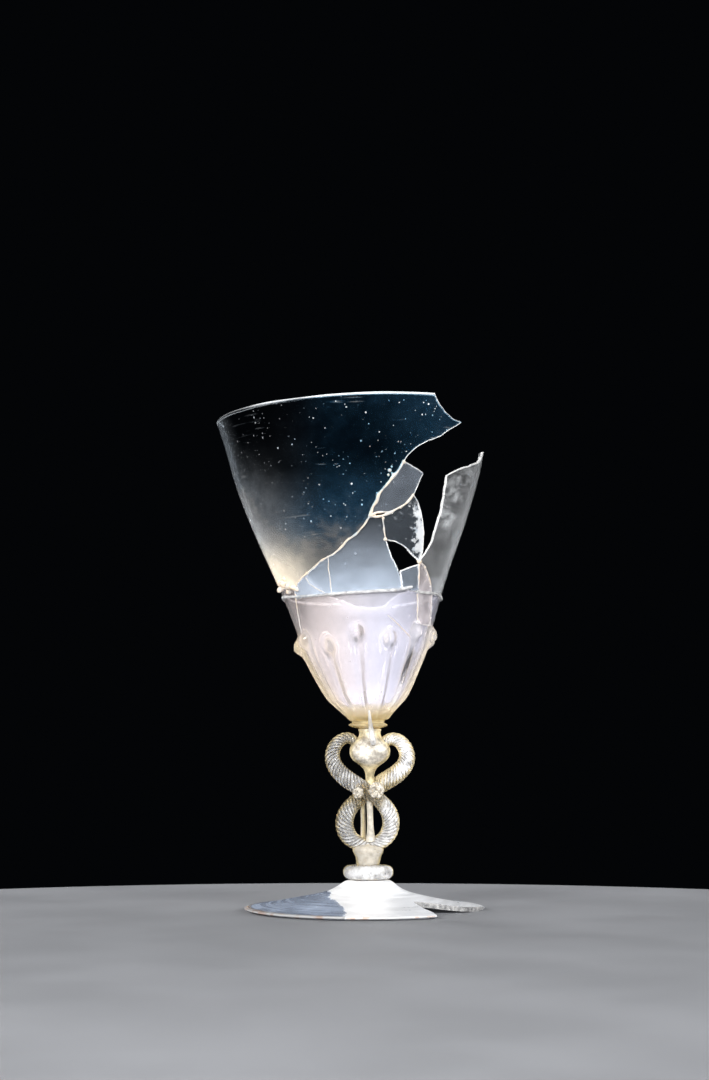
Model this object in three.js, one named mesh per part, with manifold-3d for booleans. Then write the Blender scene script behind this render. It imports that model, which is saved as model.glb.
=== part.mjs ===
// A broken wine glass with a serpent stem: a leaning conical bowl glued together from sherds,
// a figure-of-eight cane stem between two collars, and a low conical foot with a wedge lost.
// Millimetres, +Z up, standing on z = 0.

import * as THREE from "three";
import { mergeVertices } from "three/addons/utils/BufferGeometryUtils.js";
import Module from "manifold-3d";

const wasm = await Module();
wasm.setup();

// ---- Driving dimensions -------------------------------------------------------------------

const GAP = 0.3; // clearance left between pieces that touch on the real glass
const STEM_AT = new THREE.Vector2(6, 3.3); // where the stem's axis stands in the part's frame

const BOWL_BASE_Z = 62; // underside of the bowl, above the table
const BOWL_BASE_X = 0.3; // the bowl sits a little to the right of the stem
const BOWL_LEAN = THREE.MathUtils.degToRad(2.7); // and leans to the left
const RIM_Z = 101.7; // rim, up the bowl's own axis
const WALL_AT_BASE = 2;
const WALL_AT_RIM = 1;
const LEVEL_SHARE = 1.07; // the sloping wall is this much thicker when measured level
const BOWL_SIDES = 72;

const RIBS = 13; // tear-shaped ribs round the lower bowl
const FIRST_RIB = THREE.MathUtils.degToRad(-6.9); // bearing from the front, positive to the right
const RIB_HEAD_Z = [28.3, 26.1, 28.3, 27.1, 26, 27, 25.5, 26.5, 27.5, 26, 25.3, 26.9, 24.4];
const RIB_HEIGHT = 0.75;
const HEAD_HEIGHT = 1.9;

const SEAM_WIDTH = 0.6; // adhesive standing in a mended crack
const SEAM_PROUD = 0.2; // how far it stands off the glass, inside and out
const THREAD_Z = 40.6; // the trailed thread round the bowl
const THREAD_RADIUS = 0.6;
const THREAD_CLEAR = 0.1; // the thread keeps this much more than the gap from the sloping wall

const FOOT_RADIUS = 39.7;
const FOOT_OFF_CENTRE = -1.3; // the foot's rim is not quite centred under the stem
const FOOT_TOP_Z = 10;
const COLLAR_RADIUS = 8.25;
const COLLAR_Z = [10.3, 14.7];
const MERESE_RADIUS = 6.6;
const MERESE_Z = [59.7, 61.3];
const KNOP_X = 0.6;

// ---- Materials ----------------------------------------------------------------------------

function glass(colour, roughness) {
  return new THREE.MeshStandardMaterial({ color: colour, roughness, metalness: 0 });
}

const clearGlass = glass(0xaab4c2, 0.12);
const cloudedGlass = glass(0xe6e2e4, 0.3);
const stemGlass = glass(0xe3d3b2, 0.2);
const footGlass = glass(0xd5d8e6, 0.3);
const adhesive = glass(0xe0c9a0, 0.45);

// ---- Solids -------------------------------------------------------------------------------

function solid(geometry) {
  geometry.deleteAttribute("normal");
  geometry.deleteAttribute("uv");
  const welded = mergeVertices(geometry, 1e-4);
  return new wasm.Manifold(
    new wasm.Mesh({
      numProp: 3,
      vertProperties: new Float32Array(welded.attributes.position.array),
      triVerts: new Uint32Array(welded.index.array),
    }),
  );
}

function geometryOf(manifold) {
  const mesh = manifold.getMesh();
  const geometry = new THREE.BufferGeometry();
  geometry.setAttribute("position", new THREE.BufferAttribute(mesh.vertProperties, 3));
  geometry.setIndex(new THREE.BufferAttribute(mesh.triVerts, 1));
  geometry.computeVertexNormals();
  return geometry;
}

function addPiece(parent, name, shape, material) {
  const mesh = new THREE.Mesh(geometryOf(shape), material);
  mesh.name = name;
  parent.add(mesh);
}

function joined(solids) {
  return solids.reduce((whole, next) => whole.add(next));
}

// Turned about the Z axis: the profile lists [radius, z] up the outside and back down the inside.
function turned(profile, sides) {
  const points = profile.map(([r, z]) => new THREE.Vector2(r, z));
  return new THREE.LatheGeometry(points, sides).rotateX(Math.PI / 2);
}

// An outline drawn in front elevation, [x, z], carried from depth near to depth far.
function plate(outline, near, far) {
  const shape = new THREE.Shape(outline.map(([x, z]) => new THREE.Vector2(x, z)));
  const slab = new THREE.ExtrudeGeometry(shape, { depth: far - near, bevelEnabled: false });
  return solid(slab.rotateX(Math.PI / 2).translate(0, far, 0));
}

// A slot or strip of one width that follows a line drawn in front elevation.
function strip(line, width, near, far) {
  const parts = [];
  for (let i = 0; i + 1 < line.length; i += 1) {
    const [x0, z0] = line[i];
    const [x1, z1] = line[i + 1];
    const length = Math.hypot(x1 - x0, z1 - z0);
    const bar = new THREE.BoxGeometry(length, far - near, width);
    bar.rotateY(-Math.atan2(z1 - z0, x1 - x0));
    bar.translate((x0 + x1) / 2, (near + far) / 2, (z0 + z1) / 2);
    parts.push(solid(bar));
  }
  for (const [x, z] of line.slice(1, -1)) {
    const corner = new THREE.CylinderGeometry(width / 2, width / 2, far - near, 8);
    parts.push(solid(corner.translate(x, (near + far) / 2, z)));
  }
  return joined(parts);
}

// A round bar bent along a smooth curve; stations lists [x, y, z, radius].
function swept(stations, sides, steps, grow = 0) {
  const curve = new THREE.CatmullRomCurve3(stations.map(([x, y, z]) => new THREE.Vector3(x, y, z)));
  const frames = curve.computeFrenetFrames(steps);
  const bar = new THREE.CylinderGeometry(1, 1, steps, sides, steps);
  const position = bar.attributes.position;
  for (let i = 0; i < position.count; i += 1) {
    const step = Math.round(position.getY(i) + steps / 2);
    const along = curve.getUtoTmapping(step / steps) * (stations.length - 1);
    const before = Math.min(Math.floor(along), stations.length - 2);
    const plain = THREE.MathUtils.lerp(stations[before][3], stations[before + 1][3], along - before);
    const radius = plain + grow;
    const place = curve.getPointAt(step / steps);
    place.addScaledVector(frames.normals[step], position.getX(i) * radius);
    place.addScaledVector(frames.binormals[step], -position.getZ(i) * radius);
    position.setXYZ(i, place.x, place.y, place.z);
  }
  return solid(bar);
}

// ---- Bowl ---------------------------------------------------------------------------------

// Outside of the bowl before the ribs were raised, [radius, z] up its own axis.
const bowlCurve = new THREE.SplineCurve(
  [
    [6.3, 0],
    [9.6, 4],
    [13, 8],
    [17.2, 16],
    [21, 24.5],
    [22.9, 31],
    [25.9, 40],
    [29.8, 50.5],
    [36, 65.8],
    [40.9, 80],
    [44, 93.5],
    [46.3, RIM_Z],
  ].map(([r, z]) => new THREE.Vector2(r, z)),
);

// Outside radius at a height, found on a fine sampling of the curve.
const bowlSamples = bowlCurve.getPoints(400);
function bowlRadius(z) {
  const above = bowlSamples.findIndex((point) => point.y >= z);
  if (above < 1) return bowlSamples[above < 0 ? bowlSamples.length - 1 : 0].x;
  const low = bowlSamples[above - 1];
  const high = bowlSamples[above];
  return THREE.MathUtils.mapLinear(z, low.y, high.y, low.x, high.x);
}

function wallAt(z) {
  return THREE.MathUtils.lerp(WALL_AT_BASE, WALL_AT_RIM, Math.min(z / 45, 1));
}

// Closed profile of the bowl's wall between two heights of its outside, thicker by grow on each face.
function wallProfile(heights, grow = 0) {
  const outside = heights.map((z) => [bowlRadius(z) + grow, z]);
  const inside = heights.map((z) => [bowlRadius(z) - wallAt(z) * LEVEL_SHARE - grow, z]);
  return [...outside, ...inside.reverse(), outside[0]];
}

const UPPER_HEIGHTS = [26, 34, 42, 50.5, 58, 66, 76, 88, RIM_Z];
const upperWall = solid(turned(wallProfile(UPPER_HEIGHTS), BOWL_SIDES));
const proudWall = solid(turned(wallProfile(UPPER_HEIGHTS, SEAM_PROUD), BOWL_SIDES));

// How far a rib stands off the plain bowl at a bearing from the front and a height.
function ribRise(bearing, z) {
  let rise = 0;
  for (let i = 0; i < RIBS; i += 1) {
    const turn = bearing - FIRST_RIB - (i * 2 * Math.PI) / RIBS;
    const nearest = Math.atan2(Math.sin(turn), Math.cos(turn));
    const aside = nearest * bowlRadius(z);
    const up = z - RIB_HEAD_Z[i];
    const ridge = RIB_HEIGHT * Math.exp(-((aside / 1.3) ** 2)) * THREE.MathUtils.smoothstep(z, 1, 9);
    const below = 1 - THREE.MathUtils.smoothstep(up, -2, 1);
    rise += ridge * below + HEAD_HEIGHT * Math.exp(-((aside / 2) ** 2) - (up / 2.5) ** 2);
  }
  return rise;
}

function ribbedBowl() {
  const outside = [0, 2, 4, 7, 11, 15, 19, 22, 24.5, 27, 29.5, 33, 42, 53];
  const inside = [53, 42, 32, 22, 13, 5.2];
  const floor = [[4.5, 3.1], [0, 2.7]];
  const profile = [
    [0, 0],
    ...outside.map((z) => [bowlRadius(z), z]),
    ...inside.map((z) => [bowlRadius(z) - wallAt(z) * LEVEL_SHARE, z]),
    ...floor,
  ];
  const geometry = turned(profile, RIBS * 6);
  const position = geometry.attributes.position;
  for (let i = 0; i < position.count; i += 1) {
    const x = position.getX(i);
    const y = position.getY(i);
    const z = position.getZ(i);
    const radius = Math.hypot(x, y);
    if (radius < bowlRadius(z) - 0.01) continue;
    const grown = (radius + ribRise(Math.atan2(x, -y), z)) / radius;
    position.setXYZ(i, x * grown, y * grown, z);
  }
  return solid(geometry);
}

// Breaks, drawn in front elevation in the bowl's own frame.
const NEAR = -60; // in front of the whole bowl
const SIDE = 6; // the front sherds run this far behind the bowl's middle
const FAR = 60; // behind the whole bowl
const OUT = 60; // clear to either side

const MAIN_BREAK = [
  [14.7, 81], [12.3, 77.5], [8.5, 73.4], [6.1, 71], [5.4, 69.1], [3.9, 66.8], [3.1, 64.4],
  [-0.5, 59.9], [-4.5, 57.3], [-8.9, 53.3], [-10.9, 52.5], [-12.8, 51.8], [-18, 48.1],
  [-20.5, 46.2], [-22.5, 43.8],
];
const LEFT_BREAK = [[-22.5, 43.8], [-26.4, 44.6], [-OUT, 45.5]];
const SMALL_BREAK = [[3.1, 64.4], [10, 65.5], [13.8, 67.3], [17.3, 70.8]];
const LEAF_LEFT = [[7.2, 65.1], [7.4, 62.1], [7.8, 56.9]];
const APEX = [18.6, 50.4]; // where leaf, chip, sliver and side strip meet
const SLIVER_LEFT = [APEX, [18, 41], [17.3, 30.4]];
const SLIVER_RIGHT = [APEX, [21.3, 46.1], [22.6, 40.6], [21.6, 30.4]];
const THREAD_CRACK = [[-22.3, THREAD_Z], [12.8, 41.4], [18, 41]];
const CORNER_CRACK = [[-10.9, 52.5], [-10.2, 41]];

const rimOutline = [
  ...MAIN_BREAK, ...LEFT_BREAK.slice(1), [-OUT, 110], [24.6, 110], [25.2, 102.4], [26.6, 99.6],
  [28.7, 96.9], [31.4, 94.7], [34.2, 94.2], [32.2, 92.9], [26.8, 89.2], [19.8, 86], [18, 84.6],
  [15.8, 82.7],
];
const smallOutline = [...MAIN_BREAK.slice(0, 7), ...SMALL_BREAK.slice(1), [20.7, 77.4]];
const leafOutline = [
  [17.3, 70.8], [13.8, 67.3], [10, 65.5], ...LEAF_LEFT, [13.3, 55.3], [17.2, 51.6], APEX,
  [19.6, 55.5], [20, 60.3], [19.3, 65.6],
];
const centreOutline = [
  ...MAIN_BREAK.slice(6, 10), ...CORNER_CRACK, [12.8, 41.4], [11.6, 46.9], [9.4, 52], [8, 56.6],
  [7.4, 62.1], [7.2, 65.1],
];
const cornerOutline = [...MAIN_BREAK.slice(10), THREAD_CRACK[0], CORNER_CRACK[1]];
const chipOutline = [[12.3, 47.2], [12.8, 41.4], ...SLIVER_LEFT.slice(0, 2).toReversed(), [18, 49.1]];
const sliverOutline = [...SLIVER_LEFT, ...SLIVER_RIGHT.slice(1).toReversed()];
const sideOutline = [
  APEX, [21.3, 46.1], [22.6, 40.6], [OUT, 40.6], [OUT, 92], [43.5, 88.2], [42.2, 86.6],
  [39.6, 83], [32.5, 79.5], [28.6, 77.3], [27.1, 69.6], [24.8, 62.3], [22.8, 56.4],
];
const bodyFront = [
  [-OUT, -5], [-OUT, 45.5], [-26.4, 44.6], [-22.5, 43.8], THREAD_CRACK[0], [12.8, 41.4], [18, 41],
  [17.3, 30.4], [21.6, 30.4], [22.6, 40.6], [OUT, 40.6], [OUT, -5],
];
const bodyBack = [
  [-OUT, -5], [-OUT, 45], [-28, 46], [-25, 48.5], [-19.9, 50.6], [-16.9, 47.6], [-13.3, 44],
  [-6.8, 41.5], [-2.8, 39.5], [7.6, 39], [9.8, 41.2], [12.6, 42.9], [18, 44], [23, 47.5],
  [26, 47], [OUT, 46], [OUT, -5],
];

const GLUED_LINES = [
  MAIN_BREAK,
  SMALL_BREAK,
  LEAF_LEFT,
  [APEX, [18.2, 43]],
  [APEX, [21.3, 46.1], [22.2, 43]],
];
const slots = joined([
  ...GLUED_LINES.map((line) => strip(line, SEAM_WIDTH + 2 * GAP, NEAR, 0)),
  strip(LEFT_BREAK, GAP, NEAR, SIDE),
  strip(SLIVER_LEFT, GAP, NEAR, 0),
  strip([...SLIVER_RIGHT.slice(1), SLIVER_LEFT.at(-1)], GAP, NEAR, 0),
  strip(THREAD_CRACK, GAP, NEAR, 0),
  strip(CORNER_CRACK, GAP, NEAR, 0),
  strip([[12.3, 47.2], [12.8, 41.4]], GAP, NEAR, 0),
  strip([[22.6, 40.6], [OUT, 40.6]], GAP, NEAR, SIDE + GAP),
]);

function sherd(outline, far = 0) {
  return upperWall.intersect(plate(outline, NEAR, far)).subtract(slots);
}

function largestPart(shape) {
  const parts = shape.decompose();
  return parts.reduce((best, part) => (part.volume() > best.volume() ? part : best));
}

const bowl = new THREE.Group();
bowl.position.set(BOWL_BASE_X, 0, BOWL_BASE_Z);
bowl.rotation.y = -BOWL_LEAN;

const body = joined([plate(bodyFront, NEAR, SIDE), plate(bodyBack, SIDE - 0.01, FAR)]);
const sideClearance = plate([[20, 40.3], [OUT, 40.3], [OUT, 100], [20, 100]], NEAR, SIDE + GAP);
const leftClearance = plate([[-OUT, 45.4], [-15, 45.4], [-15, 100], [-OUT, 100]], NEAR, SIDE + GAP);
const clearances = joined([slots, sideClearance, leftClearance]);
const lowerBowl = ribbedBowl().intersect(body).subtract(clearances);

addPiece(bowl, "lower_bowl", largestPart(lowerBowl), cloudedGlass);
addPiece(bowl, "rim_sherd", largestPart(sherd(rimOutline, SIDE)), clearGlass);
addPiece(bowl, "small_sherd", largestPart(sherd(smallOutline)), clearGlass);
addPiece(bowl, "leaf_sherd", largestPart(sherd(leafOutline)), clearGlass);
addPiece(bowl, "centre_sherd", largestPart(sherd(centreOutline)), clearGlass);
addPiece(bowl, "corner_sherd", largestPart(sherd(cornerOutline)), cloudedGlass);
addPiece(bowl, "chip_sherd", largestPart(sherd(chipOutline)), clearGlass);
addPiece(bowl, "sliver_sherd", largestPart(sherd(sliverOutline)), cloudedGlass);
addPiece(bowl, "side_sherd", largestPart(sherd(sideOutline, SIDE)), cloudedGlass);

// The trailed thread, broken away behind and snapped where it crosses the cracks at the right.
function threadAlong(bearings) {
  const stations = bearings.map(([degrees, z, radius = THREAD_RADIUS]) => {
    const bearing = THREE.MathUtils.degToRad(degrees);
    const reach = bowlRadius(z) + GAP + THREAD_RADIUS + THREAD_CLEAR;
    return [reach * Math.sin(bearing), -reach * Math.cos(bearing), z, radius];
  });
  return swept(stations, 6, (bearings.length - 1) * 3);
}

addPiece(
  bowl,
  "bowl_thread_left",
  threadAlong([
    [-163, 40.3], [-140, 40.6], [-118, 40.8], [-97, 41], [-75, 41.2], [-52, 40.4], [-29, 40.5],
    [-10, 40.9], [10, 41], [27, 41.3], [36, 42],
  ]),
  stemGlass,
);
addPiece(
  bowl,
  "bowl_thread_right",
  threadAlong([[40.5, 40.6], [56, 40.4], [75, 40.1], [92, 39.3], [112, 39.5], [134, 39.4], [155, 38.8]]),
  stemGlass,
);

// Adhesive: strips standing in the mended cracks, and a lump at the left corner.
const SEAM_LINES = {
  seam_main: MAIN_BREAK.slice(0, -1),
  seam_small: [[4.6, 64.65], ...SMALL_BREAK.slice(1)],
  seam_leaf: [[7.3, 63.8], [7.6, 57.6]],
  seam_sliver_left: [[18.5, 49.2], [18.2, 43]],
  seam_sliver_right: [[19.5, 49], [21.3, 46.1], [22.2, 43]],
};
for (const [name, line] of Object.entries(SEAM_LINES)) {
  const seam = proudWall.intersect(strip(line, SEAM_WIDTH, NEAR, 0));
  addPiece(bowl, name, largestPart(seam), adhesive);
}

const LUMPS = [[-24.2, -15.3, 44, 1.3], [-26.2, -12.4, 44.8, 1.7], [-27.8, -8.6, 45.3, 1.4]];
const lump = joined(
  LUMPS.map(([x, y, z, radius]) => solid(new THREE.SphereGeometry(radius, 10, 6).translate(x, y, z))),
);
const outerFace = wallProfile(UPPER_HEIGHTS, GAP + SEAM_PROUD).slice(0, UPPER_HEIGHTS.length);
const keepOff = solid(turned([[0, UPPER_HEIGHTS[0]], ...outerFace, [0, RIM_Z]], 36));
addPiece(bowl, "adhesive_lump", largestPart(lump.subtract(keepOff)), adhesive);

// ---- Stem ---------------------------------------------------------------------------------

const stem = new THREE.Group();

// The serpent: two ribbed strands that cross below the knop and close into a ring on the post.
const STRAND_LEFT = [
  [-3.6, 0, 53.4, 1.6], [-5.2, 0, 55.7, 1.8], [-7.2, 0, 56.4, 1.85], [-10.4, 0, 54.9, 2.2],
  [-12.1, 0, 51, 2.5], [-10.8, -0.3, 46.9, 2.7], [-7, -0.9, 42.8, 3.05], [-3.6, -1.4, 40.9, 2.9],
  [0.3, -1.5, 38.4, 2.6], [4, -0.9, 35.7, 2.4], [6.8, -0.2, 32.2, 2.8], [7.6, 0, 28, 2.95],
  [6.3, 0, 24.4, 2.8], [3.4, 0, 22, 2.3], [0, 0, 21.2, 2],
];
const STRAND_RIGHT = [
  [4.4, 0, 53.2, 1.7], [6, 0, 55.4, 2], [8.9, 0, 56, 2.2], [11.8, 0, 54, 2.4], [12.9, 0, 50.4, 2.6],
  [11.9, 0.3, 47.2, 2.9], [8.9, 0.9, 44.4, 3.2], [4, 1.4, 41.4, 3.2], [0.2, 1.5, 38.6, 2.7],
  [-4.2, 0.9, 35.4, 2.5], [-7.1, 0.2, 31.8, 3], [-7.8, 0, 27.8, 3.1], [-6.5, 0, 24.2, 2.9],
  [-3.4, 0, 21.9, 2.3], [0, 0, 21.2, 2],
];

function serpent(grow = 0) {
  return swept(STRAND_LEFT, 8, 28, grow).add(swept(STRAND_RIGHT, 8, 28, grow));
}

function knopShape(grow = 0) {
  const outline = [
    [4.5, 59.4], [3.6, 58.6], [3.5, 57.6], [4.1, 56.3], [5.5, 55], [6.6, 53.5], [7, 51.7], [6.5, 50],
    [5, 48.4], [3.2, 47.2], [2, 46.1], [1.45, 44.8], [1.35, 43.2], [1.6, 41],
  ];
  const grown = outline.map(([r, z]) => [r + grow, z]).reverse();
  const top = 59.4 + grow;
  const profile = [[0, 41 - grow], [1.6 + grow, 41 - grow], ...grown, [4.5 + grow, top], [0, top]];
  return solid(turned(profile, 18).translate(KNOP_X, 0, 0));
}

function disc(radius, [low, high], rounding, grow = 0) {
  const mid = (low + high) / 2;
  const half = (high - low) / 2;
  const profile = [[0, low - grow]];
  for (let step = 0; step <= 4; step += 1) {
    const angle = (step / 4 - 0.5) * Math.PI;
    const reach = radius + grow - rounding * (1 - Math.cos(angle));
    profile.push([reach, mid + (half + grow) * Math.sin(angle)]);
  }
  profile.push([0, high + grow]);
  return solid(turned(profile, 28));
}

// Blocks that split the stem at the height where the knop has narrowed to its spindle.
const SPINDLE_Z = 46.8;
const BLOCK = 30; // half the width of a block, and more than the stem's
const aboveSpindle = plate(
  [[-BLOCK, SPINDLE_Z], [BLOCK, SPINDLE_Z], [BLOCK, BOWL_BASE_Z], [-BLOCK, BOWL_BASE_Z]],
  -BLOCK,
  BLOCK,
);
const belowSpindle = plate(
  [[-BLOCK, FOOT_TOP_Z], [BLOCK, FOOT_TOP_Z], [BLOCK, SPINDLE_Z], [-BLOCK, SPINDLE_Z]],
  -BLOCK,
  BLOCK,
);

const cane = serpent();
const caneClearance = serpent(GAP);
const knopShoulders = knopShape(GAP).intersect(aboveSpindle);
addPiece(stem, "merese", disc(MERESE_RADIUS, MERESE_Z, 1.9), stemGlass);
addPiece(stem, "knop", largestPart(knopShape().subtract(caneClearance.intersect(belowSpindle))), stemGlass);
addPiece(stem, "serpent_cane", largestPart(cane.subtract(knopShoulders)), stemGlass);

// A drawn-out drop of glass that runs down the front from the bowl's base to the knop.
const TRAIL = [
  [0.3, -9.8, 64.8, 0.3], [0.5, -8.6, 62.6, 0.45], [0.8, -7.7, 60.6, 0.6], [1.2, -6.6, 58, 0.85],
  [1.5, -6.3, 55.4, 1],
];
const trail = swept(TRAIL, 8, 12);
addPiece(stem, "front_trail", largestPart(trail.subtract(knopShoulders)), stemGlass);

// Raspberry prunts pressed on the front of the crossing: a pad with a ring of beads.
function prunt(x, y, z, radius) {
  const pad = new THREE.SphereGeometry(radius, 12, 8).scale(1, 0.75, 1).translate(x, y, z);
  const beads = [];
  for (let i = 0; i < 7; i += 1) {
    const turn = (i * Math.PI) / 3;
    const out = i === 6 ? 0 : radius * 0.58;
    const bead = new THREE.SphereGeometry(radius * 0.34, 6, 4);
    const depth = i === 6 ? 0.72 : 0.52;
    bead.translate(x + out * Math.cos(turn), y - radius * depth, z + out * Math.sin(turn));
    beads.push(solid(bead));
  }
  return joined([solid(pad), ...beads]).subtract(caneClearance);
}
addPiece(stem, "prunt_left", largestPart(prunt(-3.3, -4.4, 38.4, 2.1)), stemGlass);
addPiece(stem, "prunt_right", largestPart(prunt(2.6, -4, 39.2, 2.9)), stemGlass);

// Two thin struts stand inside the lower ring.
const FRONT_STRUT = [
  [0.6, -0.9, 35.5, 1], [0.7, -0.9, 30, 1.05], [0.8, -0.9, 26, 1.15], [0.9, -0.9, 22, 1.6],
];
const BACK_STRUT = [[-1.7, 1, 35.5, 0.75], [-1.7, 1, 28, 0.75], [-1.6, 1, 22, 0.9]];
const frontStrut = swept(FRONT_STRUT, 10, 8);
const backStrut = swept(BACK_STRUT, 8, 8);
addPiece(stem, "front_strut", largestPart(frontStrut.subtract(caneClearance)), stemGlass);
addPiece(stem, "back_strut", largestPart(backStrut.subtract(caneClearance)), stemGlass);

const postProfile = [
  [0, 15], [3.9, 15], [4, 16.4], [4.5, 17.8], [5.3, 19.2], [5.3, 20.4], [4, 21.6], [0, 21.8],
];
addPiece(stem, "post", largestPart(solid(turned(postProfile, 20)).subtract(caneClearance)), stemGlass);
addPiece(stem, "collar", disc(COLLAR_RADIUS, COLLAR_Z, 2), stemGlass);

// ---- Foot ---------------------------------------------------------------------------------

// Out along the hollow underside, round the rim and back up the top.
const footProfile = [
  [0, 8], [5, 7.4], [10, 5.8], [17, 3.5], [26, 1.6], [36, 0.2], [37.2, 0], [39.5, 0], [FOOT_RADIUS, 0.6],
  [39.2, 1.15], [31.5, 2.3], [22, 4], [13.5, 6], [10, 7.9], [7.8, 9.4], [6.2, FOOT_TOP_Z],
  [0, FOOT_TOP_Z],
];

// The lost wedge, in plan: in from the rim at the front right, and out again behind a sliver.
const LOST_WEDGE = [
  [20.9, -31.6], [19, -25.8], [16.3, -21.4], [14.4, -15.6], [20.5, -13.2], [27.5, -11.3], [33.4, -6.4],
  [38.6, 0.2], [45, 3], [45, -45], [22.5, -45],
];

function foot() {
  const geometry = turned(footProfile, 48);
  const position = geometry.attributes.position;
  for (let i = 0; i < position.count; i += 1) {
    const drift = FOOT_OFF_CENTRE * (1 - position.getZ(i) / FOOT_TOP_Z);
    position.setX(i, position.getX(i) + drift);
  }
  const wedge = new THREE.Shape(LOST_WEDGE.map(([x, y]) => new THREE.Vector2(x, y)));
  const cutter = new THREE.ExtrudeGeometry(wedge, { depth: 20, bevelEnabled: false });
  return solid(geometry).subtract(solid(cutter.translate(0, 0, -5)));
}
addPiece(stem, "foot", foot(), footGlass);

// ---- The whole glass ----------------------------------------------------------------------

const brokenWineGlass = new THREE.Group();
brokenWineGlass.add(bowl, stem);
brokenWineGlass.position.set(STEM_AT.x, STEM_AT.y, 0);

export default brokenWineGlass;
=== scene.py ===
"""Builds the looks of a broken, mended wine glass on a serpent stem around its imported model."""

import math
import random

import bpy
from bpy.props import FloatProperty, FloatVectorProperty, IntProperty, PointerProperty
from mathutils import Matrix, Vector, noise


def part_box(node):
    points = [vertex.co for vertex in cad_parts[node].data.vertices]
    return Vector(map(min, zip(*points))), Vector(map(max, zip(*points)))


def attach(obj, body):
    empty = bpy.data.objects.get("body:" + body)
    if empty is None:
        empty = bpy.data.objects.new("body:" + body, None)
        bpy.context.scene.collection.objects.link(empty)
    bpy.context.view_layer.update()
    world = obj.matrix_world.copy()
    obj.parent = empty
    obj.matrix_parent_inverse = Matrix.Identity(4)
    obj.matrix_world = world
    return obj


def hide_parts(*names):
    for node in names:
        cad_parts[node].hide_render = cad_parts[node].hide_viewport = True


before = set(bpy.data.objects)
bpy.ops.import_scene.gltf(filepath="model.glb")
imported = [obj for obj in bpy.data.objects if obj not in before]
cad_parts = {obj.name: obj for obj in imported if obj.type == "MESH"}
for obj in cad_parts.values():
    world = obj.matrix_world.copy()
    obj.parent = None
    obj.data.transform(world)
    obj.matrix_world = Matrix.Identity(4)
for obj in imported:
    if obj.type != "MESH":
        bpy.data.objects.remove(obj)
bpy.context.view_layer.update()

bl_info = {
    "name": "Broken Wine Glass",
    "version": (1, 0, 0),
    "blender": (4, 5, 0),
    "location": "3D View > Sidebar > Wine Glass",
    "description": "Builds a broken and mended wine glass with a serpent stem",
    "category": "Add Mesh",
}

# Pieces are modelled in millimetres and placed in metres.
MM = 0.001

# Without a seed of its own, the noise that roughens the breaks changes from run to run.
NOISE_SEED = 5

# Filled when the script runs: the scene's settings, and the materials by name.
SETTINGS = None
MATERIALS = {}


def middle(node):
    """The middle of a node's box, in millimetres."""
    low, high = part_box(node)
    return (low + high) / (2 * MM)


# The stem's axis, and the bowl's own frame: its foot on the stem, leaning a little to the left.
STEM_X, STEM_Y = middle("collar").xy
STEM_PLACE = Matrix.Scale(MM, 4) @ Matrix.Translation((STEM_X, STEM_Y, 0))
BOWL_BASE = Vector((STEM_X + 0.3, STEM_Y, 62))
BOWL_LEAN = math.radians(2.7)
BOWL_PLACE = Matrix.Scale(MM, 4) @ Matrix.Translation(BOWL_BASE) @ Matrix.Rotation(-BOWL_LEAN, 4, "Y")

# ---- Shared shape of the bowl ---------------------------------------------------------------

RIM_Z = 101.7
BOWL_CURVE = [
    (6.3, 0), (9.6, 4), (13, 8), (17.2, 16), (21, 24.5), (22.9, 31), (25.9, 40), (29.8, 50.5),
    (36, 65.8), (40.9, 80), (44, 93.5), (46.3, RIM_Z),
]
LIP_RADIUS = 0.52
BASE_WALL, RIM_WALL = 1.7, 0.85
THINNED_BY = 50  # the height above which the wall is as thin as at the rim
FRONT, BACK = -1, 1
RIBS = 13
RIB_SPACING = 2 * math.pi / RIBS
FIRST_RIB = math.radians(-6.9)
RIB_HEAD_Z = [28.3, 26.1, 28.3, 27.1, 26, 27, 25.5, 26.5, 27.5, 26, 25.3, 26.9, 24.4]
SIDES_PER_RIB = 18
POINTS_PER_RIB = 8


def smooth_step(value, low, high):
    share = min(max((value - low) / (high - low), 0), 1)
    return share * share * (3 - 2 * share)


def spline(stations, at):
    """A smooth curve through stations [value, place], read at a place."""
    places = [place for _, place in stations]
    at = min(max(at, places[0]), places[-1])
    i = max(j for j in range(len(places) - 1) if places[j] <= at)
    before = stations[max(i - 1, 0)]
    start, end = stations[i], stations[i + 1]
    after = stations[min(i + 2, len(stations) - 1)]
    span = end[1] - start[1]
    share = (at - start[1]) / span
    slope_in = (end[0] - before[0]) / (end[1] - before[1]) * span
    slope_out = (after[0] - start[0]) / (after[1] - start[1]) * span
    square, cube = share**2, share**3
    return (
        (2 * cube - 3 * square + 1) * start[0]
        + (cube - 2 * square + share) * slope_in
        + (3 * square - 2 * cube) * end[0]
        + (cube - square) * slope_out
    )


def bowl_radius(z):
    return spline(BOWL_CURVE, z)


def wall_at(z):
    """The wall thins from the ribbed base to the rim."""
    return BASE_WALL - (BASE_WALL - RIM_WALL) * min(z / THINNED_BY, 1)


def on_bowl(x, z, depth, face=FRONT):
    """A point on the front or back of the bowl, at a depth below the outside."""
    radius = bowl_radius(z) - depth
    return (x, face * math.sqrt(max(radius**2 - x**2, 0)), z)


def rib_rise(bearing, z):
    """How far the drop-headed ribs stand off the plain bowl."""
    i = round((bearing - FIRST_RIB) / RIB_SPACING)
    head = RIB_HEAD_Z[i % RIBS]
    aside = (bearing - FIRST_RIB - i * RIB_SPACING) * bowl_radius(z)
    up = z - head
    width = 0.8 + 0.6 * smooth_step(z, 4, 22)
    ridge = math.exp(-((aside / width) ** 2)) * smooth_step(z, 0.5, 7)
    below = 1 - smooth_step(up, -2, 1)
    drop = math.exp(-(((aside / 2.1) ** 2 + (up / 2.6) ** 2) ** 1.5))
    return SETTINGS.rib_height / MM * ridge * below + SETTINGS.drop_height / MM * drop


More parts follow.
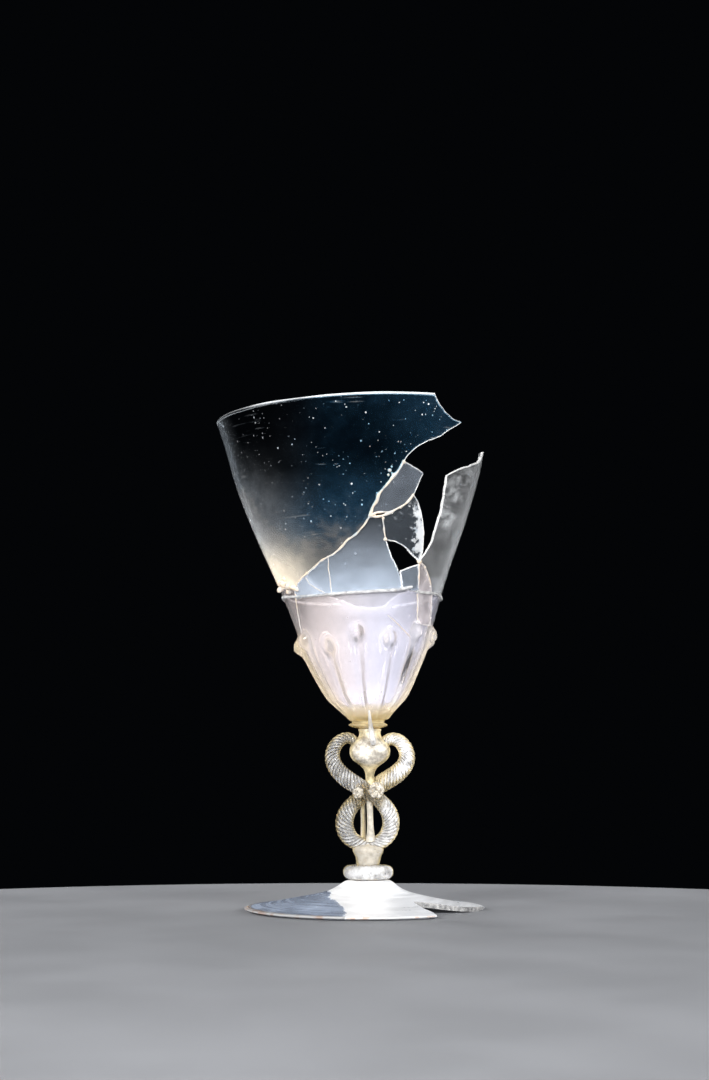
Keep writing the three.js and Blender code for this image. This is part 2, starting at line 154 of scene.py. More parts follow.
def flank(bearing, z):
    """How a rib or its drop slopes here: up to 1 on its right and top, which face away from a light at the
    lower left, down to -1 on its left and foot, which face it; the base's material paints shade and light
    from this.
    """
    turn, lift = 0.01, 0.1
    here = rib_rise(bearing, z)
    across = (rib_rise(bearing + turn, z) - here) / (turn * bowl_radius(z))
    up = (rib_rise(bearing, z + lift) - here) / lift
    return min(max(-0.75 * across - 0.5 * up, -1), 1)


def wobble(x, y, z):
    """The slight unevenness of hand-blown glass."""
    return 0.22 * noise.noise(Vector((x, y, z)) * 0.045)


# Breaks, drawn in front elevation in the bowl's own frame.
NEAR, SIDE, FAR = -60, 6, 60  # in front of the bowl, just behind its middle, and beyond it
OUT, ABOVE = 60, 120  # clear of the bowl at the sides and above
BREAK_AIM = 9  # the faces of a break all aim at a point this far beyond the bowl's axis
BREAK_STEP = 0.9  # how far apart the small turns of a break are
BREAK_WANDER = 0.22
OVERLAP = 0.01  # where two blocks of the lower bowl's break meet
GAP = 0.07  # a sherd's edge stands this far back from the line of its break
MAIN_BREAK = [
    (14.7, 81), (12.3, 77.5), (10.4, 75.6), (8.5, 73.4), (6.1, 71), (5.5, 69.1), (3.9, 66.8),
    (3.1, 64.4), (1.6, 62.4), (-0.5, 59.9), (-2.6, 58.4), (-4.5, 57.3), (-6.6, 55.1), (-8.9, 53.3),
    (-10.9, 52.5), (-12.8, 51.8), (-15.6, 49.6), (-18, 48.1), (-20.5, 46.2), (-22.5, 43.8),
]
TOP_OF_CENTRE = 7  # where the centre sherd begins along the main break
TOP_OF_CORNER = 14
LEFT_BREAK = [(-22.5, 43.8), (-24.6, 44.6), (-26.4, 44.6), (-OUT, 46)]
SMALL_BREAK = [(3.1, 64.4), (5, 65.3), (10, 65.5), (13.8, 67.3), (15.8, 69), (17.3, 70.8)]
CHIPPED_BREAK = [(3.1, 64.4), (4.8, 64), (7, 64.3), (8.8, 64.8), (10, 65.5)]
LEAF_LEFT = [(7, 64.3), (7.3, 62.1), (7.5, 59), (7.8, 56.9)]
APEX = (18.6, 50.4)
SLIVER_LEFT = [APEX, (18.1, 46), (18, 41), (17.5, 36), (17.3, 30.4)]
SLIVER_RIGHT = [APEX, (20.3, 48.6), (21.3, 46.1), (22.2, 43.6), (22.6, 40.6), (22.2, 35), (21.6, 30.4)]
THREAD_CRACK = [(-22.3, 40.6), (-10.2, 41), (12.8, 41.4), (18, 41)]
RIM_BREAK = [
    (24.6, 110), (25.2, 102.4), (26.6, 99.6), (28.7, 96.9), (31.4, 94.7), (34.2, 94.2), (32.2, 92.9),
    (29.6, 91.3), (26.8, 89.2), (23, 87.7), (19.8, 86), (18, 84.6), (15.8, 82.7), (14.7, 81),
]
HOLE_EDGE = [(7.8, 56.9), (10.6, 56.6), (13.3, 55.3), (15.4, 53.2), (17.2, 51.6), APEX]
CENTRE_RIGHT = [(7.8, 56.9), (9.4, 52), (11.6, 46.9), (12.8, 41.4)]
LEAF_RIGHT = [APEX, (19.6, 53), (20.1, 57), (20.2, 61), (19.6, 65.4), (18.7, 68.4), (17.3, 70.8)]
SIDE_INNER = [
    APEX, (21, 53.6), (22.8, 56.4), (24.8, 62.3), (26.2, 66), (27.1, 69.6), (28, 74), (28.6, 77.3),
]
SIDE_TOP = [(28.6, 77.3), (32.5, 79.5), (36, 81), (39.6, 83), (41.2, 84.8), (42.4, 87.4), (43.6, 88.4)]
BACK_BREAK = [
    (-OUT, 45), (-28, 46), (-25, 48.5), (-22, 50), (-19.9, 50.6), (-16.9, 47.6), (-13.3, 44),
    (-6.8, 41.5), (-2.8, 39.5), (2, 38.8), (7.6, 39), (9.8, 41.2), (12.6, 42.9), (18, 44), (23, 47.5),
    (26, 47), (OUT, 46),
]

# Breaks with nothing glued to them: a narrow bright round rod along each edge is a painted glint, the light
# caught by the break.
FREE_BREAKS = [
    RIM_BREAK[1:], [(14.7, 81), (20.7, 77.4), (19, 74), (17.3, 70.8)], HOLE_EDGE, LEAF_RIGHT,
    [(7.8, 56.9), (9.4, 52), (11.4, 47.5)], [(12.2, 47.2), (18.3, 49.3)], [(12.2, 47.2), (12.8, 41.6)],
    SIDE_INNER, SIDE_TOP[:-1],
]
BACK_EDGE = BACK_BREAK[4:-3]

# Each sherd's outline, and how far back its piece of the bowl goes.
SHERDS = {
    "rim_sherd": (MAIN_BREAK + LEFT_BREAK[1:] + [(-OUT, 110)] + RIM_BREAK[:-1], SIDE),
    "small_sherd": (
        [(20.7, 77.4), (19, 74)] + SMALL_BREAK[:0:-1] + MAIN_BREAK[TOP_OF_CENTRE::-1],
        0,
    ),
    "leaf_sherd": (
        [(17.3, 70.8), (15.8, 69), (13.8, 67.3), (10, 65.5), (8.8, 64.8)] + LEAF_LEFT + HOLE_EDGE[1:]
        + LEAF_RIGHT[1:-1],
        0,
    ),
    "centre_sherd": (
        MAIN_BREAK[TOP_OF_CENTRE : TOP_OF_CORNER + 1] + [(-10.6, 46), (-10.2, 41)]
        + CENTRE_RIGHT[::-1] + LEAF_LEFT[-2::-1] + [(4.8, 64)],
        0,
    ),
    "corner_sherd": (MAIN_BREAK[TOP_OF_CORNER:] + [(-22.3, 40.6), (-10.2, 41), (-10.6, 46)], 0),
    "chip_sherd": ([(12.2, 47.2), (12.8, 41.4), (18, 41), (18.1, 46), (18.3, 49.3)], 0),
    "sliver_sherd": (SLIVER_LEFT + SLIVER_RIGHT[:0:-1], 0),
    "side_sherd": (
        SLIVER_RIGHT[:5] + [(OUT, 40.6), (OUT, 89)] + SIDE_TOP[::-1] + SIDE_INNER[-2:0:-1],
        SIDE,
    ),
}
CLOUDED = ("corner_sherd", "sliver_sherd", "side_sherd")
SHERD_GLASS = {
    "rim_sherd": "rim_glass", "small_sherd": "small_pane", "leaf_sherd": "crusted_glass",
    "centre_sherd": "panel_glass", "corner_sherd": "panel_glass", "chip_sherd": "chip_pane",
    "sliver_sherd": "creamed_glass", "side_sherd": "strip_glass",
}

# ---- Modelling helpers ----------------------------------------------------------------------


def pick(*objects):
    bpy.ops.object.select_all(action="DESELECT")
    for obj in objects:
        obj.select_set(True)
    bpy.context.view_layer.objects.active = objects[0]


def edit(obj):
    pick(obj)
    bpy.ops.object.mode_set(mode="EDIT")
    bpy.ops.mesh.select_all(action="SELECT")


def edit_selected(obj):
    """Edit mode with the vertices that code has chosen."""
    pick(obj)
    bpy.ops.object.mode_set(mode="EDIT")
    bpy.ops.mesh.select_mode(type="VERT")


def stop_editing():
    bpy.ops.object.mode_set(mode="OBJECT")


def face_outwards():
    """Turns every face outwards, and leaves edit mode."""
    bpy.ops.mesh.select_all(action="SELECT")
    bpy.ops.mesh.normals_make_consistent(inside=False)
    stop_editing()


def close_end():
    """Draws the last ring together into one point."""
    bpy.ops.mesh.extrude_region_move()
    bpy.ops.mesh.merge(type="CENTER")


def join(objects):
    pick(*objects)
    if len(objects) > 1:
        bpy.ops.object.join()
    return bpy.context.object


def modify(obj, kind, **values):
    """Adds a modifier and applies it."""
    obj.data.update()
    modifier = obj.modifiers.new(kind.lower(), kind)
    for key, value in values.items():
        setattr(modifier, key, value)
    pick(obj)
    bpy.ops.object.modifier_apply(modifier=modifier.name)


def place(obj, matrix):
    obj.matrix_world = matrix
    pick(obj)
    bpy.ops.object.transform_apply(location=True, rotation=True, scale=True)


def ring_stack(stations, sides, centre=(0, 0)):
    """A turned form: one ring carried through stations [radius, z], with both ends closed."""
    radius, z = stations[0]
    bpy.ops.mesh.primitive_circle_add(vertices=sides, radius=radius, location=(*centre, z))
    obj = bpy.context.object
    bpy.ops.object.transform_apply(location=True)
    edit(obj)
    close_end()
    bpy.ops.mesh.select_all(action="SELECT")
    stop_editing()
    for vertex in obj.data.vertices:
        vertex.select = (vertex.co.xy - Vector(centre)).length > radius / 2
    edit_selected(obj)
    for new_radius, new_z in stations[1:]:
        bpy.ops.mesh.extrude_region_move(TRANSFORM_OT_translate={"value": (0, 0, new_z - z)})
        share = new_radius / radius
        bpy.ops.transform.resize(value=(share, share, 1), center_override=(*centre, new_z))
        radius, z = new_radius, new_z
    close_end()
    face_outwards()
    return obj


def mark(obj, name, values):
    """Keeps a number for each vertex, for a material to read."""
    attribute = obj.data.attributes.new(name, "FLOAT", "POINT")
    for item, value in zip(attribute.data, values):
        item.value = value


def jagged(outline, closed=True):
    """The same outline with the small wander of a real break, alike on both sides of a crack."""
    points = []
    ends = outline[1:] + outline[:1] if closed else outline[1:]
    for (x0, z0), (x1, z1) in zip(outline, ends):
        steps = max(1, min(40, round(math.hypot(x1 - x0, z1 - z0) / BREAK_STEP)))
        for step in range(steps):
            x = x0 + (x1 - x0) * step / steps
            z = z0 + (z1 - z0) * step / steps
            shift = noise.noise_vector(Vector((x, z, 0)) * 0.9) * BREAK_WANDER
            points.append((x + shift.x, z + shift.y))
    return points if closed else points + outline[-1:]


def inset(points, amount):
    """Moves an outline's points inwards, to leave a hair's gap between neighbours."""
    area = sum(a[0] * b[1] - b[0] * a[1] for a, b in zip(points, points[1:] + points[:1]))
    side = 1 if area > 0 else -1
    moved = []
    for i, (x, z) in enumerate(points):
        before, after = Vector(points[i - 1]), Vector(points[(i + 1) % len(points)])
        along = (after - before).normalized()
        moved.append((x - side * amount * along.y, z + side * amount * along.x))
    return moved


def block(points, start, offset, upright=True):
    """A block whose outline is drawn in elevation (upright) or in plan, carried by an offset."""
    bpy.ops.mesh.primitive_circle_add(vertices=len(points), fill_type="NGON")
    obj = bpy.context.object
    for vertex, (across, along) in zip(obj.data.vertices, points):
        vertex.co = (across, start, along) if upright else (across, along, start)
    edit(obj)
    move = (0, offset, 0) if upright else (0, 0, offset)
    bpy.ops.mesh.extrude_region_move(TRANSFORM_OT_translate={"value": move})
    face_outwards()
    obj.data.materials.append(MATERIALS["fractured_glass"])
    return obj


def wall_block(points, start, offset):
    """A block that crosses the bowl's wall nearly square to it, as a real break does."""
    cutter = block(points, start, offset)
    side = BACK if start + offset > FAR / 2 else FRONT
    for vertex in cutter.data.vertices:
        x, depth, z = vertex.co
        radius = bowl_radius(z)
        wall = math.sqrt(max(radius**2 - x**2, 0))
        share = (BREAK_AIM + side * depth) / (BREAK_AIM + wall)
        beyond = max(abs(x) - radius, 0)
        spread = max(share, (OUT - radius * share) / (OUT - radius))
        vertex.co.x = math.copysign((abs(x) - beyond) * share + beyond * spread, x)
    return cutter


def cut(obj, cutter, operation):
    """Cuts or joins exactly, and makes sure that a whole, closed piece is left."""
    cutter.data.update()
    before = len(obj.data.vertices)
    modify(obj, "BOOLEAN", object=cutter, operation=operation, solver="EXACT", material_mode="TRANSFER")
    bpy.data.objects.remove(cutter)
    closed = len(obj.data.loops) == 2 * len(obj.data.edges)
    if not closed or len(obj.data.vertices) in (0, before):
        raise RuntimeError(f"{obj.name} was not cut cleanly")


def copy_of(obj):
    made = obj.copy()
    made.data = obj.data.copy()
    bpy.context.scene.collection.objects.link(made)
    return made


def drawn_rod(stations, sides=16, per_station=6, section=None, twist=0.0):
    """A hot-drawn rod through stations [x, y, z, radius], with round or given section."""
    bpy.ops.curve.primitive_nurbs_path_add()
    obj = bpy.context.object
    curve = obj.data
    curve.splines.clear()
    path = curve.splines.new("NURBS")
    path.points.add(len(stations) - 1)
    path.use_endpoint_u = True
    path.order_u = 4
    path.resolution_u = per_station
    turn, before = 0.0, None
    for point, (x, y, z, radius) in zip(path.points, stations):
        spot = Vector((x, y, z))
        turn += twist * (spot - before).length if before else 0.0
        before = spot
        point.co = (x, y, z, 1)
        point.radius = radius
        point.tilt = turn
    curve.dimensions = "3D"
    curve.twist_mode = "MINIMUM"
    curve.use_fill_caps = True
    if section is None:
        curve.bevel_depth = 1
        curve.bevel_resolution = sides // 4
    else:
        curve.bevel_mode = "OBJECT"
        curve.bevel_object = section
    pick(obj)
    bpy.ops.object.convert(target="MESH")
    obj = bpy.context.object
    if section:
        places = (i % POINTS_PER_RIB for i in range(len(obj.data.vertices)))
        mark(obj, "groove", [abs(2 * place_in_rib / POINTS_PER_RIB - 1) for place_in_rib in places])
    edit(obj)
    bpy.ops.mesh.remove_doubles(threshold=0.001)
    face_outwards()
    return obj


def rod_along(line, share, radius, swell=None, face=FRONT, sides=12):
    """A rod that follows a break, at a share of the wall's depth; it may swell and shrink at random."""
    stations = []
    for x, z in jagged(line, closed=False):
        reach = radius * random.uniform(*swell) if swell else radius
        stations.append((*on_bowl(x, z, wall_at(z) * share, face), reach))
    return drawn_rod(stations, sides=sides, per_station=3)


def blob(centre, radius, seed=0, detail=3):
    """A lumpy round blob."""
    bpy.ops.mesh.primitive_ico_sphere_add(subdivisions=detail, radius=radius, location=centre)
    obj = bpy.context.object
    bpy.ops.object.transform_apply(location=True)
    for vertex in obj.data.vertices:
        out = vertex.co - Vector(centre)
        vertex.co += out * 0.28 * noise.noise(vertex.co / radius * 0.9 + Vector((seed, 0, 0)))
    return obj


def fuse(objects, voxel):
    """Melts overlapping forms into one skin."""
    obj = join(objects)
    modify(obj, "REMESH", mode="VOXEL", voxel_size=voxel, use_smooth_shade=True)
    modify(obj, "SMOOTH", factor=0.6, iterations=4)
    return obj


def finish(obj, node, matrix, materials, slot, angle=35):
    """Puts a modelled piece in its place, shades it, and lets it stand for its node."""
    place(obj, matrix)
    if materials:
        obj.data.materials.clear()
        for name in materials:
            obj.data.materials.append(MATERIALS[name])
    obj.name = f"{node}_glass" if slot != "adhesive" else f"{node}_bead"
    obj.data.name = obj.name
    pick(obj)
    bpy.ops.object.shade_smooth_by_angle(angle=math.radians(angle))
    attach(obj, "root")
    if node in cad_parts:
        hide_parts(node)
    obj.visible_shadow = slot not in ("clear_glass", "clouded_glass")
    return obj


# ---- Materials ------------------------------------------------------------------------------

WHITE = (0.9, 0.9, 0.9)


class Shader:
    """Adds nodes to one material, and reads places in a frame of the piece's own, in millimetres."""

    def __init__(self, name, turn=0.0, origin=(0, 0, 0)):
        self.material = bpy.data.materials.new(name)
        self.material.use_nodes = True
        self.tree = self.material.node_tree
        self.surface = self.tree.nodes["Principled BSDF"]
        self.surface.inputs["IOR"].default_value = 1.5
        coordinates = self.tree.nodes.new("ShaderNodeTexCoord")
        move = -(Matrix.Rotation(turn, 3, "Y") @ Vector(origin))
        frame_of_piece = {
            "Vector": coordinates.outputs["Object"],
            "Location": move,
            "Rotation": (0, turn, 0),
            "Scale": (1 / MM, 1 / MM, 1 / MM),
        }
        self.place = self.add("ShaderNodeMapping", frame_of_piece).outputs[0]
        split = self.add("ShaderNodeSeparateXYZ", {"Vector": self.place})
        self.x, self.y, self.z = (split.outputs[axis] for axis in "XYZ")
        MATERIALS[name] = self.material

    def add(self, kind, inputs=None, **values):
        made = self.tree.nodes.new(kind)
        for key, value in values.items():
            setattr(made, key, value)
        for key, value in (inputs or {}).items():
            self.feed(made.inputs[key], value)
        return made

    def feed(self, socket, value):
        if isinstance(value, bpy.types.NodeSocket):
            self.tree.links.new(value, socket)
        else:
            socket.default_value = value

    def noise(self, scale, detail=3.0, roughness=0.5, stretch=None, turn=(0, 0, 0), distortion=0.0):
        source = self.place
        if stretch:
            mapping = {"Vector": source, "Rotation": turn, "Scale": stretch}
            source = self.add("ShaderNodeMapping", mapping).outputs[0]
        settings = {"Vector": source, "Scale": scale, "Detail": detail, "Roughness": roughness}
        return self.add("ShaderNodeTexNoise", {**settings, "Distortion": distortion}).outputs["Fac"]

    def math(self, operation, first, second=0.0, clamp=False):
        made = self.add("ShaderNodeMath", {0: first, 1: second}, operation=operation, use_clamp=clamp)
        return made.outputs[0]

    def sum(self, *values):
        total = values[0]
        for value in values[1:]:
            total = self.math("ADD", total, value)
        return total

    def product(self, *values):
        total = values[0]
        for value in values[1:]:
            total = self.math("MULTIPLY", total, value)
        return total

    def larger(self, first, second):
        return self.math("MAXIMUM", first, second)

    def size(self, value):
        """A value without its sign."""
        return self.math("ABSOLUTE", value)

    def ramp(self, value, low, high, to_low=0.0, to_high=1.0, smooth=True):
        settings = {"Value": value, "From Min": low, "From Max": high, "To Min": to_low, "To Max": to_high}
        kind = "SMOOTHSTEP" if smooth else "LINEAR"
        return self.add("ShaderNodeMapRange", settings, interpolation_type=kind).outputs["Result"]

    def curve_up(self, value, low, high, power, strength):
        """Rises from nothing at low to its strength at high, slowly at first."""
        share = self.ramp(value, low, high, smooth=False)
        return self.math("MULTIPLY", self.math("POWER", share, power), strength)

    def distance_squared(self, x, z):
        """How far a place is, in front elevation, from a given spot."""
        aside, up = self.sum(self.x, -x), self.sum(self.z, -z)
        return self.sum(self.product(aside, aside), self.product(up, up))

    def blend(self, share, first, second):
        made = self.add("ShaderNodeMix", data_type="RGBA")
        self.feed(made.inputs[0], share)
        self.feed(made.inputs[6], first if isinstance(first, bpy.types.NodeSocket) else (*first, 1))
        self.feed(made.inputs[7], second if isinstance(second, bpy.types.NodeSocket) else (*second, 1))
        return made.outputs[2]

    def marked(self, name):
        """A number kept for each vertex."""
        return self.add("ShaderNodeAttribute", attribute_name=name).outputs["Fac"]

    def specks(self, scale, smallest, largest, share):
        """Small round spots of many sizes, scattered: seed bubbles and grains."""
        cells = self.add("ShaderNodeTexVoronoi", {"Vector": self.place, "Scale": scale, "Randomness": 1.0})
        chances = self.add("ShaderNodeSeparateColor", {"Color": cells.outputs["Color"]})
        small, large = smallest * scale, largest * scale
        size = self.ramp(chances.outputs["Green"], 0.0, 1.0, small, large, smooth=False)
        near = self.ramp(self.math("DIVIDE", cells.outputs["Distance"], size), 1.0, 0.6)
        return self.product(near, self.math("LESS_THAN", chances.outputs["Red"], share))

    def bump(self, height, strength, distance):
        settings = {"Height": height, "Strength": strength, "Distance": distance * MM}
        self.feed(self.surface.inputs["Normal"], self.add("ShaderNodeBump", settings).outputs[0])

    def absorb(self, tint, density):
        """Thick glass colours the light that crosses it."""
        made = self.add("ShaderNodeVolumeAbsorption", {"Color": (*tint, 1), "Density": density})
        output = self.tree.nodes["Material Output"]
        self.feed(output.inputs["Volume"], made.outputs[0])

    def skin(self, body, through, roughness):
        """The surface's colour, how much light it lets through, and how rough it is."""
        values = {"Base Color": body, "Transmission Weight": through, "Roughness": roughness}
        for name, value in values.items():
            self.feed(self.surface.inputs[name], value)

    def film(self, cover, film_colour, glass_colour, polish=0.03, worn=0.4):
        """A cover of milky film over clear glass: the film scatters, the glass lets light through."""
        body = self.blend(self.ramp(cover, 0.0, 0.04), glass_colour, film_colour)
        through = self.math("SUBTRACT", 1.0, cover, clamp=True)
        self.skin(body, through, self.ramp(cover, 0.0, 0.7, polish, worn, smooth=False))


def bowl_shader(name):
    return Shader(name, BOWL_LEAN, BOWL_BASE)


def stem_shader(name):
    return Shader(name, 0.0, (STEM_X, STEM_Y, 0))


def flaws(shader, share):
    """Seed bubbles, grains of dirt and fine scratches in blown glass."""
    bubbles = shader.specks(0.36, 0.07, 0.38, share)
    grains = shader.specks(0.6, 0.04, 0.26, share * 0.7)
    spots = shader.larger(bubbles, shader.product(grains, 0.7))
    lines = shader.noise(0.05, detail=2, stretch=(1, 0.8, 22), turn=(0.3, 0.35, 0.2), distortion=0.3)
    here = shader.ramp(shader.noise(0.08), 0.5, 0.62)
    return spots, shader.product(shader.ramp(lines, 0.655, 0.68), here, 0.06)


def side_haze(shader, side):
    """A little more film towards the bowl's left (-1) or right (1) silhouette as seen from the front: a
    painted haze, standing in for the film's look where light grazes it.
    """
    aside = shader.ramp(shader.size(shader.sum(shader.y, 2.5)), 20, 2)
    return shader.product(aside, shader.ramp(shader.product(shader.x, side), 5, 20), 0.035)


def waves(shader, spots, strength=0.3):
    """Hand-blown unevenness, with each bubble a small swelling."""
    fine = shader.product(shader.noise(0.5, detail=4, roughness=0.6), 0.06)
    shader.bump(shader.sum(shader.noise(0.035, detail=1), fine, shader.product(spots, 0.12)), strength, 0.6)


def rim_glass():
    """Clear and bluish above, with a film that thickens to cream at the lower left, a painted highlight
    along the lip and a painted haze along the left silhouette.
    """
    shader = bowl_shader("rim_glass")
    spots, scratches = flaws(shader, 0.85)
    cloud = shader.noise(0.06, detail=5, roughness=0.6)
    low = shader.sum(shader.z, shader.ramp(cloud, 0.2, 0.8, -4, 4, smooth=False))
    body = shader.curve_up(low, 82, 46, 1.5, 0.068)
    # Painted haze: more film along the left silhouette, as seen from the front, standing in for the film's
    # look where light grazes it.
    left = shader.ramp(shader.x, -20, -40)
    edge = shader.product(left, shader.curve_up(low, 96, 52, 2.4, 0.16))
    lower = shader.ramp(shader.z, 72, 50, 0.3, 1.0)
    corner = shader.product(body, shader.ramp(shader.x, -11, -27), lower, 2.6)
    corner = shader.sum(corner, shader.ramp(shader.distance_squared(-29, 44), 230, 0, 0, 0.13))
    mottle = shader.ramp(shader.noise(0.3, detail=6, roughness=0.7), 0.3, 0.75, 0.65, 1.3)
    clouds = shader.product(shader.ramp(cloud, 0.35, 0.65, 0.002, 0.009), shader.ramp(shader.x, -30, 0))
    right = shader.product(shader.ramp(shader.x, 6, 32), 0.016)
    # Painted highlight: white film along the lip stands in for the bright line of light in the rim.
    lip = shader.ramp(shader.z, RIM_Z - 0.1, RIM_Z + 0.3, 0.0, 0.6)
    haze = shader.product(shader.sum(body, edge, clouds, right, side_haze(shader, -1)), mottle)
    cover = shader.sum(haze, corner, lip, scratches)
    crowd = shader.product(shader.ramp(shader.x, -30, 4, 0.4, 1.0), shader.ramp(cloud, 0.4, 0.6, 0.35, 1.0))
    cover = shader.larger(cover, shader.product(spots, crowd))
    creamy = shader.product(shader.ramp(shader.z, 66, 50), shader.ramp(shader.x, -6, -24))
    whiter = shader.ramp(shader.sum(haze, spots, lip, scratches), 0.014, 0.05)
    whiter = shader.larger(whiter, shader.ramp(shader.x, -8, -30, 0, 0.85))
    film_colour = shader.blend(whiter, SETTINGS.night_film, SETTINGS.milk_colour)
    film_colour = shader.blend(creamy, film_colour, SETTINGS.cream_colour)
    shader.film(cover, film_colour, film_colour)
    waves(shader, spots)


def panel_glass():
    """Bluish glass whose film thickens downwards."""
    shader = bowl_shader("panel_glass")
    spots, scratches = flaws(shader, 0.35)
    streaks = shader.noise(0.12, detail=6, roughness=0.65, stretch=(1, 1, 1.8))
    body = shader.sum(shader.curve_up(shader.z, 66, 41, 1.6, 0.24), 0.012)
    body = shader.product(body, shader.ramp(streaks, 0.25, 0.75, 0.8, 1.2))
    cover = shader.larger(shader.sum(body, scratches), shader.product(spots, 0.4))
    shader.film(cover, SETTINGS.blue_film, SETTINGS.clear_tint, worn=0.3)
    waves(shader, spots)


def pane_glass(name, haze, glass_colour):
    """A small clear pane under an even bluish haze."""
    shader = bowl_shader(name)
    spots, scratches = flaws(shader, 0.5)
    body = shader.ramp(shader.noise(0.15, detail=5), 0.25, 0.75, haze * 0.75, haze * 1.25)
    cover = shader.larger(shader.sum(body, scratches), shader.product(spots, 0.45))
    shader.film(cover, SETTINGS.blue_film, glass_colour)
    waves(shader, spots)


def crusted_glass():
    """A clear pane with a white crust flaking off along its right edge."""
    shader = bowl_shader("crusted_glass")
    spots, scratches = flaws(shader, 0.5)
    flakes = shader.noise(0.42, detail=6, roughness=0.65)
    reach = shader.sum(shader.x, shader.ramp(flakes, 0.3, 0.7, -3.2, 3.2, smooth=False))
    crust = shader.product(shader.ramp(reach, 17.6, 18.1), shader.ramp(shader.z, 69, 67), 0.38)
    top = shader.product(shader.ramp(flakes, 0.6, 0.64), shader.ramp(shader.z, 60, 64), 0.12)
    cover = shader.larger(shader.sum(crust, top, scratches, 0.022), shader.product(spots, 0.45))
    tone = shader.blend(shader.ramp(cover, 0.02, 0.08), SETTINGS.blue_film, SETTINGS.milk_colour)
    shader.film(cover, tone, SETTINGS.clear_tint)
    waves(shader, spots)


def strip_glass():
    """Grey hazy glass with residue smeared across it in bands."""
    shader = bowl_shader("strip_glass")
    spots, scratches = flaws(shader, 0.3)
    smears = shader.noise(
        0.1, detail=7, roughness=0.7, stretch=(1, 1, 2.6), turn=(0, 0.15, 0), distortion=0.5
    )
    zone = shader.product(shader.ramp(shader.z, 57, 63), shader.ramp(shader.z, 85, 76))
    inner = shader.ramp(shader.sum(shader.x, shader.product(shader.z, -0.42)), 6, 2)
    residue = shader.product(shader.ramp(smears, 0.44, 0.62), zone, inner, 0.2)
    haze = shader.ramp(shader.z, 88, 56, 0.03, 0.075)
    haze = shader.product(haze, shader.ramp(shader.noise(0.3, detail=5), 0.3, 0.7, 0.75, 1.25))
    cover = shader.sum(haze, residue, scratches, side_haze(shader, 1))
    cover = shader.larger(cover, shader.product(spots, 0.3))
    shader.film(cover, SETTINGS.milk_colour, SETTINGS.clear_tint)
    waves(shader, spots)


def creamed_glass():
    """A sliver smeared with old adhesive."""
    shader = bowl_shader("creamed_glass")
    smear = shader.noise(0.35, detail=6, roughness=0.6, stretch=(1, 1, 0.5))
    cover = shader.ramp(smear, 0.3, 0.7, 0.08, 0.22)
    shader.film(cover, SETTINGS.pink_film, SETTINGS.clear_tint, polish=0.08)
    waves(shader, smear)


def milky_glass():
    """The thick ribbed base: straw glass under a pinkish white film that is worn off in streaks, with shade
    painted on the ribs' right flanks and the drops' tops, light painted on their left flanks and feet, and
    a honey tint painted at its silhouettes.
    """
    shader = bowl_shader("milky_glass")
    spots, _ = flaws(shader, 0.25)
    streaks = shader.noise(0.16, detail=5, roughness=0.6, stretch=(1.6, 1.6, 0.35))
    whole = shader.ramp(shader.z, 46, 22, 0.11, 0.17)
    low = shader.ramp(shader.z, 14, 4, 0, 0.1)
    across_middle = shader.ramp(shader.size(shader.sum(shader.x, -1)), 13, 7)
    front = shader.ramp(shader.y, 5, -5)
    middle_band = shader.product(across_middle, shader.ramp(shader.z, 33, 36), front, 0.1)
    side = shader.product(shader.ramp(shader.size(shader.x), 14, 25), shader.ramp(shader.z, 22, 32))
    uneven = shader.ramp(streaks, 0.25, 0.75, 0.88, 1.12)
    cover = shader.product(shader.sum(whole, low, middle_band), shader.ramp(side, 0, 1, 1, 0.5), uneven)
    bare = shader.product(shader.ramp(shader.z, 3, 0.3, 0, 0.6), shader.ramp(streaks, 0.3, 0.6))
    cover = shader.product(cover, shader.math("SUBTRACT", 1.0, bare))
    # A worn clear spot, long and slanting, low on the right of the front.
    aside = shader.sum(shader.product(shader.x, 0.9), shader.product(shader.z, -0.43), -4.7)
    along = shader.sum(shader.product(shader.x, 0.43), shader.product(shader.z, 0.9), -21.5)
    lens = shader.sum(
        shader.math("POWER", shader.math("DIVIDE", aside, 1.3), 2.0),
        shader.math("POWER", shader.math("DIVIDE", along, 6.0), 2.0),
    )
    clear_spot = shader.product(shader.ramp(lens, 1.3, 0.8), shader.ramp(shader.y, 0, -2))
    cover = shader.product(cover, shader.ramp(clear_spot, 0, 1, 1, 0.1))
    # Painted shade from the ribs' slopes: a thicker, dark film on their right flanks and the drops' tops,
    # as if turned from the light.
    slope = shader.marked("flank")
    steeper = shader.math("SUBTRACT", slope, shader.ramp(shader.z, 19, 25, 0.15, 0.55))
    painted_shade = shader.product(shader.ramp(steeper, -0.05, 0.45), shader.ramp(streaks, 0.3, 0.6, 0.5, 1.0))
    cover = shader.sum(cover, shader.product(painted_shade, 0.16))
    # Painted light: a little more white film on the left flanks and feet of the ribs and drops, which face
    # the light.
    cover = shader.sum(cover, shader.ramp(slope, -0.2, -0.6, 0.0, 0.04))
    cover = shader.larger(cover, shader.product(spots, 0.45))
    tone = shader.blend(shader.ramp(shader.x, -16, 8), SETTINGS.pink_film, SETTINGS.lilac_film)
    # Painted shade: the flanks turned from the light take the dark film colour.
    tone = shader.blend(shader.product(painted_shade, 0.85), tone, SETTINGS.painted_shade_film)
    tone = shader.blend(shader.ramp(shader.z, 6, 1.5), tone, SETTINGS.cream_colour)
    # Painted tint: honey film at the silhouettes, as seen from the front, stands in for the light's long
    # path through the glass there.
    edge_on = shader.ramp(shader.size(shader.y), 9, 3)
    low = shader.ramp(shader.z, 34, 26, 0, 0.5)
    tone = shader.blend(shader.product(edge_on, low), tone, SETTINGS.honey_film_and_edge_tint)
    tone = shader.blend(shader.ramp(shader.z, 2.5, 1), tone, SETTINGS.honey_film_and_edge_tint)
    shader.film(cover, tone, SETTINGS.straw_tint, polish=0.03, worn=0.12)
    shader.absorb(SETTINGS.honey_tint, 35)
    waves(shader, spots, 0.25)


